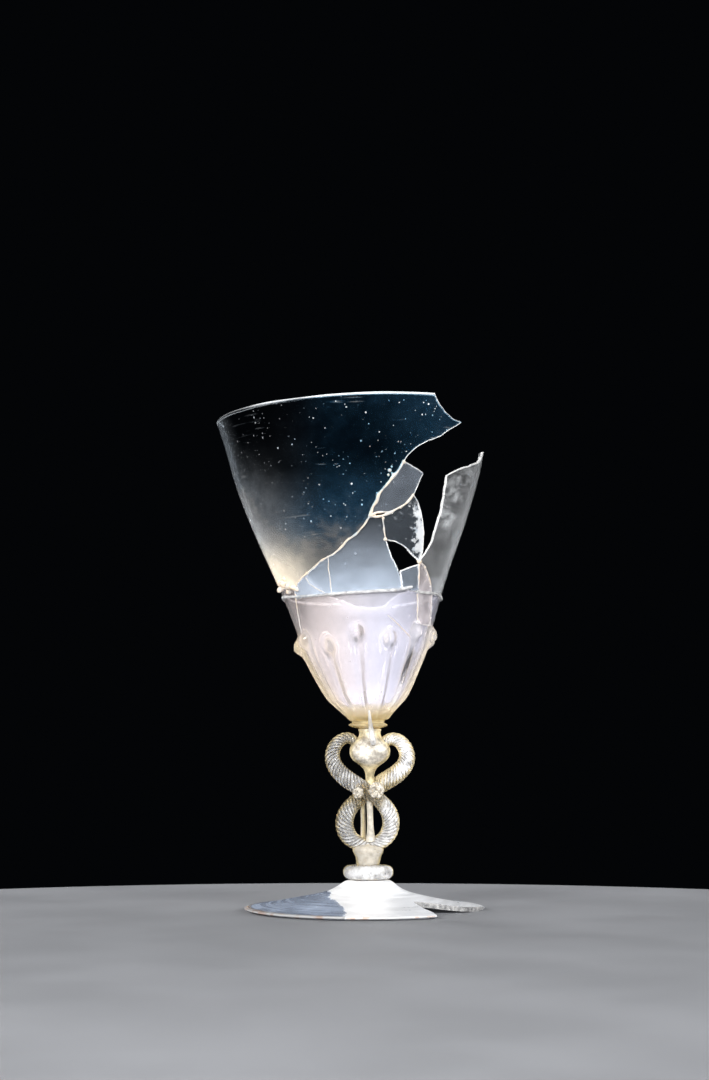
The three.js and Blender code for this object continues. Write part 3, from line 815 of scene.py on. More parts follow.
def thread_glass():
    # Painted highlight: an even white film over the whole thread stands in for the bright line of light
    # along it.
    shader = bowl_shader("thread_glass")
    mottle = shader.noise(0.5, detail=4)
    cover = shader.ramp(mottle, 0.3, 0.7, 0.25, 0.6)
    shader.film(cover, WHITE, SETTINGS.straw_tint, polish=0.05, worn=0.25)
    shader.bump(mottle, 0.3, 0.2)


def fractured_glass():
    """The slightly frosted face of a break, whose bright near-white is partly painted highlight: the light
    a break catches.
    """
    shader = Shader("fractured_glass")
    grain = shader.noise(0.8, detail=4)
    body = shader.blend(grain, (1, 0.97, 0.92), (0.9, 0.92, 0.96))
    shader.skin(body, shader.ramp(grain, 0.3, 0.7, 0.6, 0.85), shader.ramp(grain, 0.3, 0.7, 0.12, 0.35))
    shader.bump(grain, 0.4, 0.2)


def stem_glass(name, least, most, film_colour, side_width, pitting=0.2, ribbed=False):
    """Thick straw glass under a worn and pitted film; the honey at the sides of its form, seen from the
    front, is a painted tint of the light through the glass, and the ribbed cane has painted shade where it
    crosses itself and a painted lighter right side.
    """
    shader = stem_shader(name)
    patches = shader.noise(0.3, detail=6, roughness=0.7)
    pits = shader.specks(1.3, 0.08, 0.3, pitting)
    cover = shader.ramp(patches, 0.35, 0.65, least, most)
    # Painted light: more film, so whiter, towards the right where the light falls, and less towards the
    # shaded left.
    cover = shader.product(cover, shader.ramp(shader.x, -12, 10, 0.8, 1.15))
    cover = shader.product(cover, shader.ramp(pits, 0, 1, 1, 0.1))
    # Painted tint: honey film at the silhouette, as seen from the front, stands in for the light's long
    # path through the glass there.
    honey = shader.ramp(shader.size(shader.y), side_width, side_width * 0.5)
    if ribbed:
        grooves = shader.ramp(shader.marked("groove"), 0.3, 0.85)
        # Partly painted shade: besides the worn patches, the grooves clear more towards the left.
        worn = shader.ramp(shader.sum(patches, shader.product(shader.x, -0.014)), 0.4, 0.6, 0.2, 1.0)
        cover = shader.product(cover, shader.ramp(shader.product(grooves, worn), 0, 1, 1, 0.2))
        # Painted shade: where the two canes cross, less film and a darker honey tint.
        painted_crossing_shade = shader.ramp(shader.distance_squared(0, 36.6), 42, 14)
        cover = shader.product(cover, shader.ramp(painted_crossing_shade, 0, 1, 1, 0.5))
        honey = shader.larger(honey, shader.product(painted_crossing_shade, 0.6))
    film_colour = shader.blend(shader.product(honey, 0.9), film_colour, SETTINGS.honey_film_and_edge_tint)
    shader.film(cover, film_colour, SETTINGS.straw_tint, polish=0.04, worn=0.2)
    shader.absorb(SETTINGS.honey_tint, 110)
    shader.bump(shader.sum(shader.product(patches, 0.4), shader.product(pits, -0.7)), 0.35, 0.3)


def foot_glass():
    """Thin glass under a bluish film in turned streaks, thick and white over the front."""
    shader = stem_shader("filmed_foot_glass")
    broad = shader.noise(0.07, detail=6, roughness=0.65)
    radius = shader.add("ShaderNodeVectorMath", {0: shader.place}, operation="LENGTH").outputs["Value"]
    bearing = shader.math("ARCTAN2", shader.x, shader.product(shader.y, -1.0))
    around = {"X": shader.product(radius, 0.9), "Y": shader.product(bearing, 1.3), "Z": 0.0}
    around = shader.add("ShaderNodeCombineXYZ", around).outputs[0]
    streak_settings = {"Vector": around, "Scale": 0.8, "Detail": 5.0, "Roughness": 0.6, "Distortion": 0.1}
    streaks = shader.add("ShaderNodeTexNoise", streak_settings).outputs["Fac"]
    cover = shader.ramp(streaks, 0.3, 0.7, 0.28, 0.56)
    cover = shader.product(cover, shader.ramp(broad, 0.3, 0.7, 0.8, 1.25))
    slant = shader.sum(shader.x, shader.product(shader.y, 0.16), 14.2)
    ragged = shader.sum(slant, shader.ramp(broad, 0.3, 0.7, -2.5, 2.5, smooth=False))
    front = shader.product(shader.ramp(bearing, 2.4, 1.9), shader.ramp(bearing, -2.1, -1.4))
    white = shader.product(shader.ramp(ragged, -0.8, 0.8), front, shader.ramp(shader.x, -6, 16, 0.44, 0.34))
    cover = shader.math("ADD", cover, white, clamp=True)
    tone = shader.blend(shader.ramp(white, 0.0, 0.45), SETTINGS.foot_film, (0.95, 0.95, 0.96))
    rim = shader.ramp(radius, 38.3, 39.1)
    stained = shader.product(rim, shader.ramp(shader.noise(0.3, detail=4), 0.48, 0.6), 0.7)
    tone = shader.blend(rim, tone, WHITE)
    tone = shader.blend(stained, tone, SETTINGS.rim_stain)
    cover = shader.larger(cover, shader.product(rim, 0.42))
    shader.film(cover, tone, SETTINGS.clear_tint, polish=0.06, worn=0.3)
    shader.bump(shader.sum(streaks, shader.product(broad, 0.5)), 0.3, 0.25)


def adhesive():
    """Aged cream adhesive, glossy and slightly see-through."""
    shader = bowl_shader("aged_adhesive")
    patch = shader.noise(0.35, detail=4)
    body = shader.blend(shader.ramp(patch, 0.4, 0.7), SETTINGS.adhesive_colour, (0.95, 0.92, 0.88))
    shader.skin(body, shader.ramp(patch, 0.3, 0.7, 0.2, 0.5), shader.ramp(patch, 0.3, 0.7, 0.1, 0.25))
    shader.bump(patch, 0.4, 0.3)


def floor_paint():
    shader = Shader("floor_paint")
    mottle = shader.noise(0.02, detail=6)
    lighter = [min(share * 1.1, 1) for share in SETTINGS.floor_colour]
    body = shader.blend(shader.ramp(mottle, 0.3, 0.7), SETTINGS.floor_colour, lighter)
    shader.skin(body, 0.0, shader.ramp(mottle, 0.3, 0.7, 0.6, 0.8))
    shader.bump(shader.noise(0.9, detail=3), 0.08, 0.2)


def make_materials():
    rim_glass()
    panel_glass()
    pane_glass("small_pane", 0.052, SETTINGS.clear_tint)
    pane_glass("chip_pane", 0.085, SETTINGS.blue_tint)
    crusted_glass()
    strip_glass()
    creamed_glass()
    milky_glass()
    thread_glass()
    fractured_glass()
    stem_glass("honey_glass", 0.32, 0.55, SETTINGS.honey_film_and_edge_tint, 3)
    stem_glass("knop_glass", 0.3, 0.9, SETTINGS.cream_colour, 4.8)
    stem_glass("strut_glass", 0.34, 0.6, SETTINGS.cream_colour, 0.5)
    stem_glass("cane_glass", 0.26, 0.72, SETTINGS.silver_film, 2.1, 0.6, ribbed=True)
    stem_glass("prunt_glass", 0.18, 0.72, SETTINGS.cream_colour, 1, 0.7)
    stem_glass("post_glass", 0.34, 0.5, SETTINGS.cream_colour, 3)
    stem_glass("pitted_glass", 0.32, 0.66, SETTINGS.silver_film, 2.8, 0.7)
    foot_glass()
    adhesive()
    floor_paint()


# ---- Settings and operators -------------------------------------------------------------------


def length(label, description, default):
    return FloatProperty(name=label, description=description, default=default, unit="LENGTH")


def colour(label, description, default):
    return FloatVectorProperty(name=label, description=description, default=default, subtype="COLOR")


class WineGlassSettings(bpy.types.PropertyGroup):
    rib_height: length("Rib height", "Height of the ribs on the bowl", 0.0009)
    drop_height: length("Drop height", "Height of the drops that end the ribs", 0.0023)
    thread_radius: length("Thread radius", "Half the thickness of the trailed thread", 0.00052)
    seam_radius: length("Seam radius", "Half the width of the adhesive in a crack", 0.0005)
    # The rods along the free breaks are painted glints of light on the broken edges.
    edge_radius: length("Edge radius", "Radius of the rods painted as glints on the free broken edges", 0.0002)
    cane_ribs: IntProperty(name="Cane ribs", description="Ribs round the stem's cane", default=9, min=3)
    cane_rib_depth: FloatProperty(
        name="Cane rib depth",
        description="Depth of the cane's ribs as a share of its radius",
        default=0.17,
        subtype="FACTOR",
    )
    cane_pitch: length("Cane pitch", "Length of cane in which its ribs turn once", 0.0115)
    clear_tint: colour("Clear glass", "Tint of the clear glass", (0.76, 0.88, 1.0))
    blue_tint: colour("Blue glass", "Tint of the bluest sherd", (0.5, 0.68, 1.0))
    straw_tint: colour("Straw glass", "Tint of the thick glass at its surface", (1.0, 0.96, 0.88))
    honey_tint: colour("Honey glass", "Tint that thick glass gives to light", (1.0, 0.88, 0.52))
    milk_colour: colour("Milky film", "Film on the upper bowl", (0.84, 0.86, 0.88))
    cream_colour: colour("Cream film", "Film where it has yellowed", (0.97, 0.9, 0.78))
    blue_film: colour("Bluish film", "Film on the front panel", (0.76, 0.85, 0.97))
    pink_film: colour("Pinkish film", "Film on the left of the base and on the stem", (0.95, 0.89, 0.9))
    lilac_film: colour("Lilac film", "Film on the right of the base", (0.88, 0.88, 0.98))
    # Painted shade: the dark film on the ribs' right flanks and the drops' tops.
    painted_shade_film: colour("Painted shade film", "Painted shade on the ribs' right flanks and the drops' tops", (0.3, 0.27, 0.25))
    night_film: colour("Thinnest film", "Film where it is too thin to whiten", (0.2, 0.52, 0.84))
    silver_film: colour("Silvery film", "Film on the cane and collar", (0.93, 0.93, 0.94))
    # Real honey film on the merese; on the cane and bowl edges it is a painted tint of light through the
    # glass.
    honey_film_and_edge_tint: colour("Honey film and painted edge tint", "Film on the merese, and the tint painted at the edges of the cane and bowl", (0.86, 0.72, 0.42))
    foot_film: colour("Film on the foot", "Film on the foot away from its white patch", (0.68, 0.79, 1.0))
    rim_stain: colour("Stain on the foot's rim", "Coppery stain along the foot's rim", (0.75, 0.5, 0.38))
    adhesive_colour: colour("Adhesive", "Colour of the aged adhesive", (0.9, 0.74, 0.58))
    floor_colour: colour("Floor", "Colour of the floor", (0.22, 0.225, 0.24))
    floor_radius: length("Floor radius", "Radius of the round floor", 0.3)


def whole_bowl():
    """The bowl before it broke: up the outside, over the fire-polished lip and down the inside."""
    outside = [0.4, 1.2] + [2 + 0.72 * i for i in range(45)] + [35 + 2.3 * i for i in range(29)]
    outside = [z for z in outside if z < RIM_Z - 1.5] + [RIM_Z - 1]
    stations = [(2.5, 0), (5.6, 0)] + [(bowl_radius(z), z) for z in outside]
    middle_of_lip = bowl_radius(RIM_Z) - wall_at(RIM_Z) / 2
    for step in range(9):
        turn = math.radians(-40 + 32.5 * step)
        stations.append((middle_of_lip + LIP_RADIUS * math.cos(turn), RIM_Z + LIP_RADIUS * math.sin(turn)))
    stations += [(bowl_radius(z) - wall_at(z), z) for z in outside[::-1] if z > 5.5]
    stations += [(5.2, 3.9), (2.4, 3.1)]
    bowl = ring_stack(stations, RIBS * SIDES_PER_RIB)
    steepness = [0.0] * len(bowl.data.vertices)
    for vertex in bowl.data.vertices:
        x, y, z = vertex.co
        radius = math.hypot(x, y)
        if radius < 1:
            continue
        grown = wobble(x, y, z)
        if radius > bowl_radius(min(max(z, 0), RIM_Z)) - wall_at(z) / 2 and z > 0.1:
            grown += rib_rise(math.atan2(x, -y), z)
            steepness[vertex.index] = flank(math.atan2(x, -y), z)
        vertex.co.x *= 1 + grown / radius
        vertex.co.y *= 1 + grown / radius
        vertex.co.z += 0.35 * noise.noise(Vector((x, y, 7)) * 0.06) * smooth_step(z, 80, RIM_Z)
    mark(bowl, "flank", steepness)
    return bowl


class WINEGLASS_OT_bowl(bpy.types.Operator):
    """Blow the bowl, break it into its sherds and leave the lost ones out"""

    bl_idname = "wineglass.bowl"
    bl_label = "Bowl and sherds"

    def execute(self, context):
        bowl = whole_bowl()
        bowl.data.materials.append(MATERIALS["milky_glass"])
        bowl.data.materials.append(MATERIALS["fractured_glass"])
        for node, (outline, far) in SHERDS.items():
            sherd = copy_of(bowl)
            sherd.data.materials[0] = MATERIALS[SHERD_GLASS[node]]
            shape = inset(jagged(outline), GAP)
            cut(sherd, wall_block(shape, NEAR, far - NEAR), "INTERSECT")
            slot = "clouded_glass" if node in CLOUDED else "clear_glass"
            finish(sherd, node, BOWL_PLACE, None, slot)
        front = (
            [(-OUT, ABOVE)] + LEFT_BREAK[::-1] + THREAD_CRACK + SLIVER_LEFT[3:] + SLIVER_RIGHT[:3:-1]
            + [(OUT, 40.6), (OUT, ABOVE)]
        )
        cut(bowl, wall_block(inset(jagged(front), -GAP), NEAR, SIDE - NEAR), "DIFFERENCE")
        back = [(-OUT, ABOVE)] + BACK_BREAK + [(OUT, ABOVE)]
        cut(bowl, wall_block(jagged(back), SIDE - OVERLAP, FAR), "DIFFERENCE")
        finish(bowl, "lower_bowl", BOWL_PLACE, None, "clouded_glass")
        return {"FINISHED"}


class WINEGLASS_OT_edges(bpy.types.Operator):
    """Lay narrow bright rods, painted glints, along the edges of the breaks that stand free"""

    bl_idname = "wineglass.edges"
    bl_label = "Free edges"

    SWELL = (0.75, 1.2)

    def execute(self, context):
        random.seed(9)
        radius = SETTINGS.edge_radius / MM
        # Painted glints: bright rods of fractured glass along the free breaks and the back's break.
        edges = [rod_along(line, 0.5, radius, self.SWELL) for line in FREE_BREAKS]
        edges.append(rod_along(BACK_EDGE, 0.5, radius, self.SWELL, BACK))
        finish(join(edges), "worn_edges", BOWL_PLACE, ["fractured_glass"], "clear_glass")
        return {"FINISHED"}


class WINEGLASS_OT_thread(bpy.types.Operator):
    """Trail the thread round the bowl, snapped at the right and lost at the back"""

    bl_idname = "wineglass.thread"
    bl_label = "Thread"

    LEFT = [
        (-163, 40.3, 0.8), (-152, 40.6, 1), (-140, 40.6, 1), (-118, 40.8, 1.05), (-97, 41.4, 1.1),
        (-83, 42.2, 1.3), (-75, 42, 1), (-64, 41.5, 0.85), (-52, 41.2, 0.9), (-40, 41, 0.85),
        (-29, 40.8, 1), (-20, 40.9, 1.05), (-10, 41, 1.1), (0, 41, 1), (10, 41.1, 1), (20, 41.2, 1.1),
        (27, 41.4, 1), (32, 41.9, 1.1), (36, 42.2, 0.9),
    ]
    RIGHT = [
        (40.5, 40.8, 0.9), (48, 40.4, 1), (56, 40.5, 0.95), (66, 40.4, 1), (75, 40.1, 1), (84, 39.6, 1.25),
        (92, 39.2, 1.5), (100, 39.4, 1.1), (112, 39.6, 1), (134, 39.4, 1), (155, 38.6, 0.9),
    ]

    def execute(self, context):
        for node, trail in (("bowl_thread_left", self.LEFT), ("bowl_thread_right", self.RIGHT)):
            thick = SETTINGS.thread_radius / MM
            stations = []
            for degrees, z, swell in trail:
                bearing = math.radians(degrees)
                reach = bowl_radius(z) + 0.45 * thick
                stations.append((reach * math.sin(bearing), -reach * math.cos(bearing), z, thick * swell))
            finish(drawn_rod(stations, per_station=8), node, BOWL_PLACE, ["thread_glass"], "stem_glass")
        return {"FINISHED"}


class WINEGLASS_OT_adhesive(bpy.types.Operator):
    """Run adhesive into the mended cracks and leave lumps where it pooled"""

    bl_idname = "wineglass.adhesive"
    bl_label = "Adhesive"

    SWELL = (0.7, 1.35)
    SEAMS = {  # the lines that the adhesive runs along, and the places and sizes of its lumps
        "seam_main": (
            [(MAIN_BREAK[:8], 1), (MAIN_BREAK[7:], 0.65)],
            [
                (10, 78.2, 0.7), (10.9, 77.1, 0.55), (9.5, 76.8, 0.5), (10.7, 79.3, 0.4),
                (3.3, 64.6, 0.75), (14.6, 80.8, 0.7), (-6.6, 55.2, 0.4), (-10.8, 52.6, 0.45),
                (-12.6, 51.7, 0.4), (-15.4, 49.8, 0.5), (-17.8, 48.2, 0.55), (-18.7, 47.5, 0.4),
                (-20.4, 46.2, 0.5),
            ],
        ),
        "seam_small": (
            [(SMALL_BREAK, 0.75), (CHIPPED_BREAK, 0.7)],
            [(10, 65.4, 0.6), (17.2, 70.7, 0.5), (4.4, 64.9, 0.6), (13, 66.8, 0.45)],
        ),
        "seam_leaf": ([(LEAF_LEFT, 0.55)], [(7.3, 63.6, 0.5), (7.7, 57.1, 0.65), (7.4, 60.2, 0.4)]),
        "seam_sliver_left": ([([APEX, (18.1, 46), (17.9, 43)], 0.6)], [(18.5, 50.2, 0.8)]),
        "seam_sliver_right": (
            [([(19.2, 49.9), (20.3, 48.6), (21.3, 46.1), (22.2, 43)], 0.55)],
            [(20.3, 48.4, 0.5)],
        ),
    }
    HAIRLINES = [
        ([(-22.2, 42), (-21.9, 38), (-21.5, 34), (-20.9, 29.9)], 0.17),
        ([(7.6, 33.3), (9.8, 31.4), (12, 29), (14.5, 26.5)], 0.13),
        ([(17.4, 40), (17.3, 36), (17.2, 31.4)], 0.15),
        ([(-18.4, 46.8), (-17.2, 44.8), (-15, 43), (-12.6, 41.6)], 0.12),
        ([(-10.8, 52), (-10.8, 48), (-10.3, 41.6)], 0.1),
    ]
    LUMPS = [
        (-21.6, 43.6, 0, 0.8), (-22.8, 44.4, -0.3, 1.1), (-24.2, 45, -0.5, 1.3), (-25.8, 45.6, -0.6, 1.2),
        (-27.2, 46.4, -0.5, 1.2), (-27.6, 44.6, -0.5, 1), (-24.4, 43.4, -0.3, 1), (-25.8, 47.4, -0.2, 0.8),
    ]

    def put(self, obj, node):
        finish(obj, node, BOWL_PLACE, ["aged_adhesive"], "adhesive")

    def execute(self, context):
        random.seed(4)
        half = SETTINGS.seam_radius / MM
        for node, (lines, lumps) in self.SEAMS.items():
            parts = [rod_along(line, 0.4, half * share, self.SWELL) for line, share in lines]
            for i, (x, z, radius) in enumerate(lumps):
                parts.append(blob(on_bowl(x, z, wall_at(z) / 2), radius, seed=i))
            self.put(fuse(parts, voxel=0.14), node)
        lines = [rod_along(line, 0, radius, sides=16) for line, radius in self.HAIRLINES]
        self.put(join(lines), "hairline_cracks")
        parts = []
        for i, (x, z, depth, radius) in enumerate(self.LUMPS):
            parts.append(blob(on_bowl(x, z, depth), radius, seed=i))
        self.put(fuse(parts, voxel=0.16), "adhesive_lump")
        return {"FINISHED"}


class WINEGLASS_OT_serpent(bpy.types.Operator):
    """Coil the ribbed cane of the stem into its figure of eight"""

    bl_idname = "wineglass.serpent"
    bl_label = "Serpent cane"

    LEFT = [
        (-2.6, 0, 52.6, 1.3), (-4.2, 0, 55, 1.7), (-5.6, 0, 56.3, 1.85), (-7.6, 0, 56.6, 1.9),
        (-10.4, 0, 55, 2.2), (-12.3, -0.1, 51, 2.5), (-11.2, -0.3, 46.8, 2.75), (-7.2, -0.9, 42.8, 3.05),
        (-3.6, -1.4, 40.8, 2.9), (0.3, -1.5, 38.4, 2.6), (4, -0.9, 35.8, 2.4), (7, -0.2, 32.4, 2.85),
        (7.9, 0, 28, 2.95), (6.4, 0, 23.9, 2.8), (3.4, 0, 21.8, 2.4), (0, 0, 21.1, 2.1),
        (-1.5, 0, 21.1, 1.8),
    ]
    RIGHT = [
        (3.4, 0, 52.4, 1.4), (5, 0, 54.8, 1.8), (6.6, 0, 56, 2), (9, 0, 56.3, 2.2), (12, 0, 54.2, 2.45),
        (13.3, 0.1, 50.4, 2.65), (12.2, 0.3, 46.9, 2.9), (8.9, 0.9, 43.9, 3.15), (4, 1.4, 41.2, 3.1),
        (0.2, 1.5, 38.6, 2.7), (-4.2, 0.9, 35.6, 2.5), (-7.3, 0.2, 32, 2.95), (-8.2, 0, 27.8, 3.1),
        (-6.6, 0, 23.7, 2.9), (-3.4, 0, 21.7, 2.4), (0, 0, 21.1, 2.1), (1.5, 0, 21.1, 1.8),
    ]

    def execute(self, context):
        bpy.ops.curve.primitive_nurbs_circle_add(radius=1)
        section = bpy.context.object
        outline = section.data.splines[0]
        outline.type = "POLY"
        ribs = SETTINGS.cane_ribs
        outline.points.add(ribs * POINTS_PER_RIB - len(outline.points))
        for i, point in enumerate(outline.points):
            turn = 2 * math.pi * i / len(outline.points)
            reach = 1 - SETTINGS.cane_rib_depth * (1 - abs(math.cos(ribs * turn / 2)))
            point.co = (reach * math.cos(turn), reach * math.sin(turn), 0, 1)
        twist = 2 * math.pi / (SETTINGS.cane_pitch / MM)
        left = drawn_rod(self.LEFT, per_station=22, section=section, twist=twist)
        right = drawn_rod(self.RIGHT, per_station=22, section=section, twist=-twist)
        bpy.data.objects.remove(section)
        cut(left, right, "UNION")
        finish(left, "serpent_cane", STEM_PLACE, ["cane_glass"], "stem_glass", angle=60)
        return {"FINISHED"}


class WINEGLASS_OT_stem(bpy.types.Operator):
    """Turn the merese, knop, post and collar"""

    bl_idname = "wineglass.stem"
    bl_label = "Knop and collars"

    MERESE = [
        (2, 59.5), (3.9, 59.5), (5, 59.8), (6.3, 60.2), (6.65, 60.6), (6.4, 61), (5.3, 61.3), (5.4, 61.9),
        (6, 62.2), (3, 62.3),
    ]
    KNOP = [
        (0.8, 40.2), (1.5, 40.4), (1.7, 41), (1.4, 43.2), (1.5, 44.8), (2.1, 46.2), (3.3, 47.3),
        (5, 48.4), (6.4, 49.8), (7, 51.7), (6.6, 53.6), (5.4, 55.1), (4.1, 56.4), (3.5, 57.6),
        (3.6, 58.6), (4.2, 59.4), (2, 59.7),
    ]
    KNOP_ASIDE = 0.6
    POST = [
        (1.5, 14.6), (3.6, 14.7), (3.9, 15.2), (4, 16.4), (4.4, 17.8), (5.1, 19), (5.3, 19.8),
        (4.9, 20.8), (2, 21.6),
    ]
    COLLAR = [
        (3, 10), (6.2, 10.1), (7.6, 10.6), (8.25, 11.6), (8.35, 12.6), (8.2, 13.6), (7.4, 14.5),
        (6, 14.8), (3, 14.8),
    ]

    def execute(self, context):
        for node, stations, aside, glass in (
            ("merese", self.MERESE, 0, "honey_glass"),
            ("knop", self.KNOP, self.KNOP_ASIDE, "knop_glass"),
            ("post", self.POST, 0, "post_glass"),
            ("collar", self.COLLAR, 0, "pitted_glass"),
        ):
            turned = ring_stack(stations, sides=32, centre=(aside, 0))
            modify(turned, "SUBSURF", levels=2, render_levels=2)
            for vertex in turned.data.vertices:
                vertex.co += noise.noise_vector(vertex.co * 0.35) * 0.12
            finish(turned, node, STEM_PLACE, [glass], "stem_glass", angle=60)
        return {"FINISHED"}


class WINEGLASS_OT_details(bpy.types.Operator):
    """Press on the raspberry prunts and draw the struts and the trail down the front"""

    bl_idname = "wineglass.details"
    bl_label = "Prunts, struts and trail"

    BUMPS = ((0.62, 7, 0.55), (0.3, 3, 0.85))  # the size of a ring of bumps, their number, their rise
    PRUNTS = {"prunt_left": (-3.3, -4.1, 38.5, 2.15), "prunt_right": (2.6, -3.9, 39.2, 2.95)}
    RODS = {
        "front_strut": [
            (0.5, -0.9, 35.8, 1.1), (0.6, -0.9, 32, 0.95), (0.7, -0.9, 28, 1), (0.8, -0.9, 25, 1.2),
            (0.9, -0.9, 22.4, 1.8),
        ],
        "back_strut": [
            (-1.8, 1, 35.6, 0.8), (-1.7, 1, 31, 0.72), (-1.6, 1, 27, 0.72), (-1.6, 1, 22.6, 0.95),
        ],
        "front_trail": [
            (0.3, -9.8, 65.2, 0.3), (0.4, -9, 63.8, 0.5), (0.6, -7.9, 61.8, 0.62), (0.8, -7.1, 60, 0.75),
            (1.1, -6.5, 58, 0.9), (1.4, -6.2, 56.4, 1.1), (1.6, -6.3, 55, 1.1), (1.7, -6.6, 54, 0.6),
        ],
    }

    def execute(self, context):
        for node, (x, y, z, radius) in self.PRUNTS.items():
            parts = [blob((x, y, z), radius * 0.85, seed=2)]
            for ring, count, rise in self.BUMPS:
                for i in range(count):
                    turn = 2 * math.pi * i / count + ring
                    aside, up = radius * ring * math.cos(turn), radius * ring * math.sin(turn)
                    spot = (x + aside, y - radius * rise, z + up)
                    parts.append(blob(spot, radius * 0.3, seed=i, detail=2))
            finish(fuse(parts, voxel=0.13), node, STEM_PLACE, ["prunt_glass"], "stem_glass", angle=70)
        for node, stations in self.RODS.items():
            glass = "pitted_glass" if node == "front_trail" else "strut_glass"
            finish(drawn_rod(stations, per_station=8), node, STEM_PLACE, [glass], "stem_glass", angle=60)
        return {"FINISHED"}


class WINEGLASS_OT_foot(bpy.types.Operator):
    """Turn the low conical foot and break the wedge out of it"""

    bl_idname = "wineglass.foot"
    bl_label = "Foot"

    PROFILE = [
        (2.5, 7.9), (5, 7.4), (9, 6.2), (13, 4.7), (18, 3.3), (24, 2), (30, 0.95), (35, 0.2), (36.4, 0),
        (37.8, 0.08), (39, 0.4), (39.7, 0.85), (39.3, 1.25), (37.8, 1.4), (35, 1.7), (31.5, 2.3),
        (26, 3.3), (20, 4.5), (15, 5.6), (12, 6.7), (9.8, 8), (8.2, 9.3), (6.8, 10), (3, 10.2),
    ]
    WEDGE = [
        (21.2, -31.6), (20.4, -28.6), (19, -25.8), (17.4, -23.4), (16.3, -21), (15.2, -18.4),
        (14.4, -15.6), (17, -14.6), (20.5, -13.2), (24, -12.7), (27.5, -11.3), (31, -9.6), (33.4, -6.4),
        (36.3, -3.2), (38.6, 0.2), (45, 3), (45, -45), (22.5, -45),
    ]
    WEDGE_BOTTOM, WEDGE_HEIGHT = -5, 25
    OFF_CENTRE = -1.3
    TOP_Z = 10

    def execute(self, context):
        foot = ring_stack(self.PROFILE, sides=64)
        modify(foot, "SUBSURF", levels=2, render_levels=2)
        for vertex in foot.data.vertices:
            x, y, z = vertex.co
            vertex.co.x += self.OFF_CENTRE * (1 - z / self.TOP_Z)
            vertex.co.z += 0.18 * noise.noise(Vector((x, y, 3)) * 0.05) * smooth_step(z, 0.4, 3)
        foot.data.materials.append(MATERIALS["filmed_foot_glass"])
        foot.data.materials.append(MATERIALS["fractured_glass"])
        wedge = block(jagged(self.WEDGE), self.WEDGE_BOTTOM, self.WEDGE_HEIGHT, upright=False)
        cut(foot, wedge, "DIFFERENCE")
        finish(foot, "foot", STEM_PLACE, None, "foot_glass")
        return {"FINISHED"}


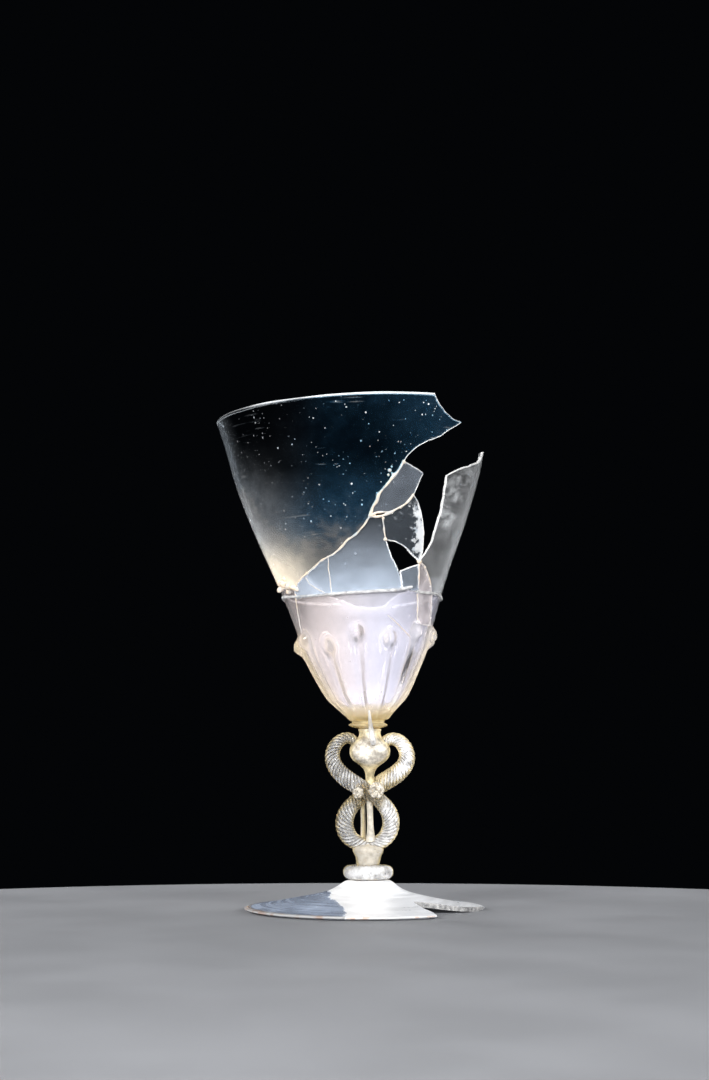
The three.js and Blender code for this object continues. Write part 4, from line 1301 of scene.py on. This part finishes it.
class WINEGLASS_OT_stage(bpy.types.Operator):
    """Set the floor, the soft lights and the camera"""

    bl_idname = "wineglass.stage"
    bl_label = "Stage"

    LIGHTS = [  # name, place, aimed at, width, height, power, seen in reflections, seen through glass
        ("key", (-0.55, -0.75, 0.36), (0, 0, 0.1), 0.45, 0.45, 14, False, False),
        ("fill", (0.65, -0.65, 0.3), (0, 0, 0.1), 0.45, 0.45, 10, False, False),
        ("left_spark", (-0.4, -0.7, 0.3), (0, 0, 0.06), 0.06, 0.06, 1.3, True, True),
        ("right_spark", (0.45, -0.7, 0.35), (0, 0, 0.06), 0.06, 0.06, 1, True, True),
        ("left_back", (-0.42, 0.66, 0.11), (0, 0, 0.09), 0.25, 0.2, 9, False, False),
        ("right_back", (0.44, 0.64, 0.11), (0, 0, 0.09), 0.25, 0.2, 9, False, False),
    ]
    FLOOR_DEPTH = 0.03
    FLOOR_MIDDLE = (0, -0.17, -FLOOR_DEPTH / 2)
    NIGHT = (0.0012, 0.0015, 0.002, 1)
    CAMERA_DISTANCE = 0.65
    CAMERA_ASIDE = 0.0045
    CAMERA_HEIGHT = 0.0552
    CAMERA_PITCH = math.radians(5.9)
    CAMERA_LENS = 65

    def execute(self, context):
        bpy.ops.mesh.primitive_cylinder_add(
            vertices=256, radius=SETTINGS.floor_radius, depth=self.FLOOR_DEPTH, location=self.FLOOR_MIDDLE
        )
        floor = bpy.context.object
        floor.name = "floor"
        bpy.ops.object.transform_apply(location=True)
        modify(floor, "BEVEL", width=0.003, segments=4, limit_method="ANGLE")
        pick(floor)
        bpy.ops.object.shade_smooth_by_angle(angle=math.radians(30))
        floor.data.materials.append(MATERIALS["floor_paint"])
        floor.visible_glossy = False
        floor.visible_transmission = False
        for name, spot, aim, width, height, power, reflected, through in self.LIGHTS:
            bpy.ops.object.light_add(type="AREA", location=spot)
            light = bpy.context.object
            light.name = name
            light.rotation_euler = (Vector(aim) - Vector(spot)).to_track_quat("-Z", "Y").to_euler()
            light.data.shape = "RECTANGLE"
            light.data.size = width
            light.data.size_y = height
            light.data.energy = power
            light.visible_glossy = reflected
            light.visible_transmission = through
            light.visible_camera = False
        world = context.scene.world or bpy.data.worlds.new("studio")
        context.scene.world = world
        world.use_nodes = True
        world.node_tree.nodes["Background"].inputs["Color"].default_value = self.NIGHT
        spot = (STEM_X * MM - self.CAMERA_ASIDE, STEM_Y * MM - self.CAMERA_DISTANCE, self.CAMERA_HEIGHT)
        bpy.ops.object.camera_add(location=spot, rotation=(math.pi / 2 + self.CAMERA_PITCH, 0, 0))
        camera = bpy.context.object
        camera.data.lens = self.CAMERA_LENS
        camera.data.clip_start = 0.01
        context.scene.camera = camera
        context.scene.view_settings.view_transform = "Standard"
        return {"FINISHED"}


class WINEGLASS_PT_panel(bpy.types.Panel):
    """Lists the glass's settings and the operators that build it"""

    bl_label = "Broken Wine Glass"
    bl_idname = "WINEGLASS_PT_panel"
    bl_space_type = "VIEW_3D"
    bl_region_type = "UI"
    bl_category = "Wine Glass"

    def draw(self, context):
        settings = context.scene.wine_glass
        for name in settings.bl_rna.properties.keys():
            if name not in ("rna_type", "name"):
                self.layout.prop(settings, name)
        for operator in OPERATORS:
            self.layout.operator(operator.bl_idname)


OPERATORS = (
    WINEGLASS_OT_stage,
    WINEGLASS_OT_bowl,
    WINEGLASS_OT_edges,
    WINEGLASS_OT_thread,
    WINEGLASS_OT_adhesive,
    WINEGLASS_OT_serpent,
    WINEGLASS_OT_stem,
    WINEGLASS_OT_details,
    WINEGLASS_OT_foot,
)
CLASSES = (WineGlassSettings, *OPERATORS, WINEGLASS_PT_panel)


def register():
    noise.seed_set(NOISE_SEED)
    for made in CLASSES:
        bpy.utils.register_class(made)
    bpy.types.Scene.wine_glass = PointerProperty(type=WineGlassSettings)


def unregister():
    del bpy.types.Scene.wine_glass
    for made in reversed(CLASSES):
        bpy.utils.unregister_class(made)


def main():
    global SETTINGS
    register()
    SETTINGS = bpy.context.scene.wine_glass
    make_materials()
    bpy.ops.wineglass.stage()
    bpy.ops.wineglass.bowl()
    bpy.ops.wineglass.edges()
    bpy.ops.wineglass.thread()
    bpy.ops.wineglass.adhesive()
    bpy.ops.wineglass.serpent()
    bpy.ops.wineglass.stem()
    bpy.ops.wineglass.details()
    bpy.ops.wineglass.foot()


if __name__ == "__main__":
    main()
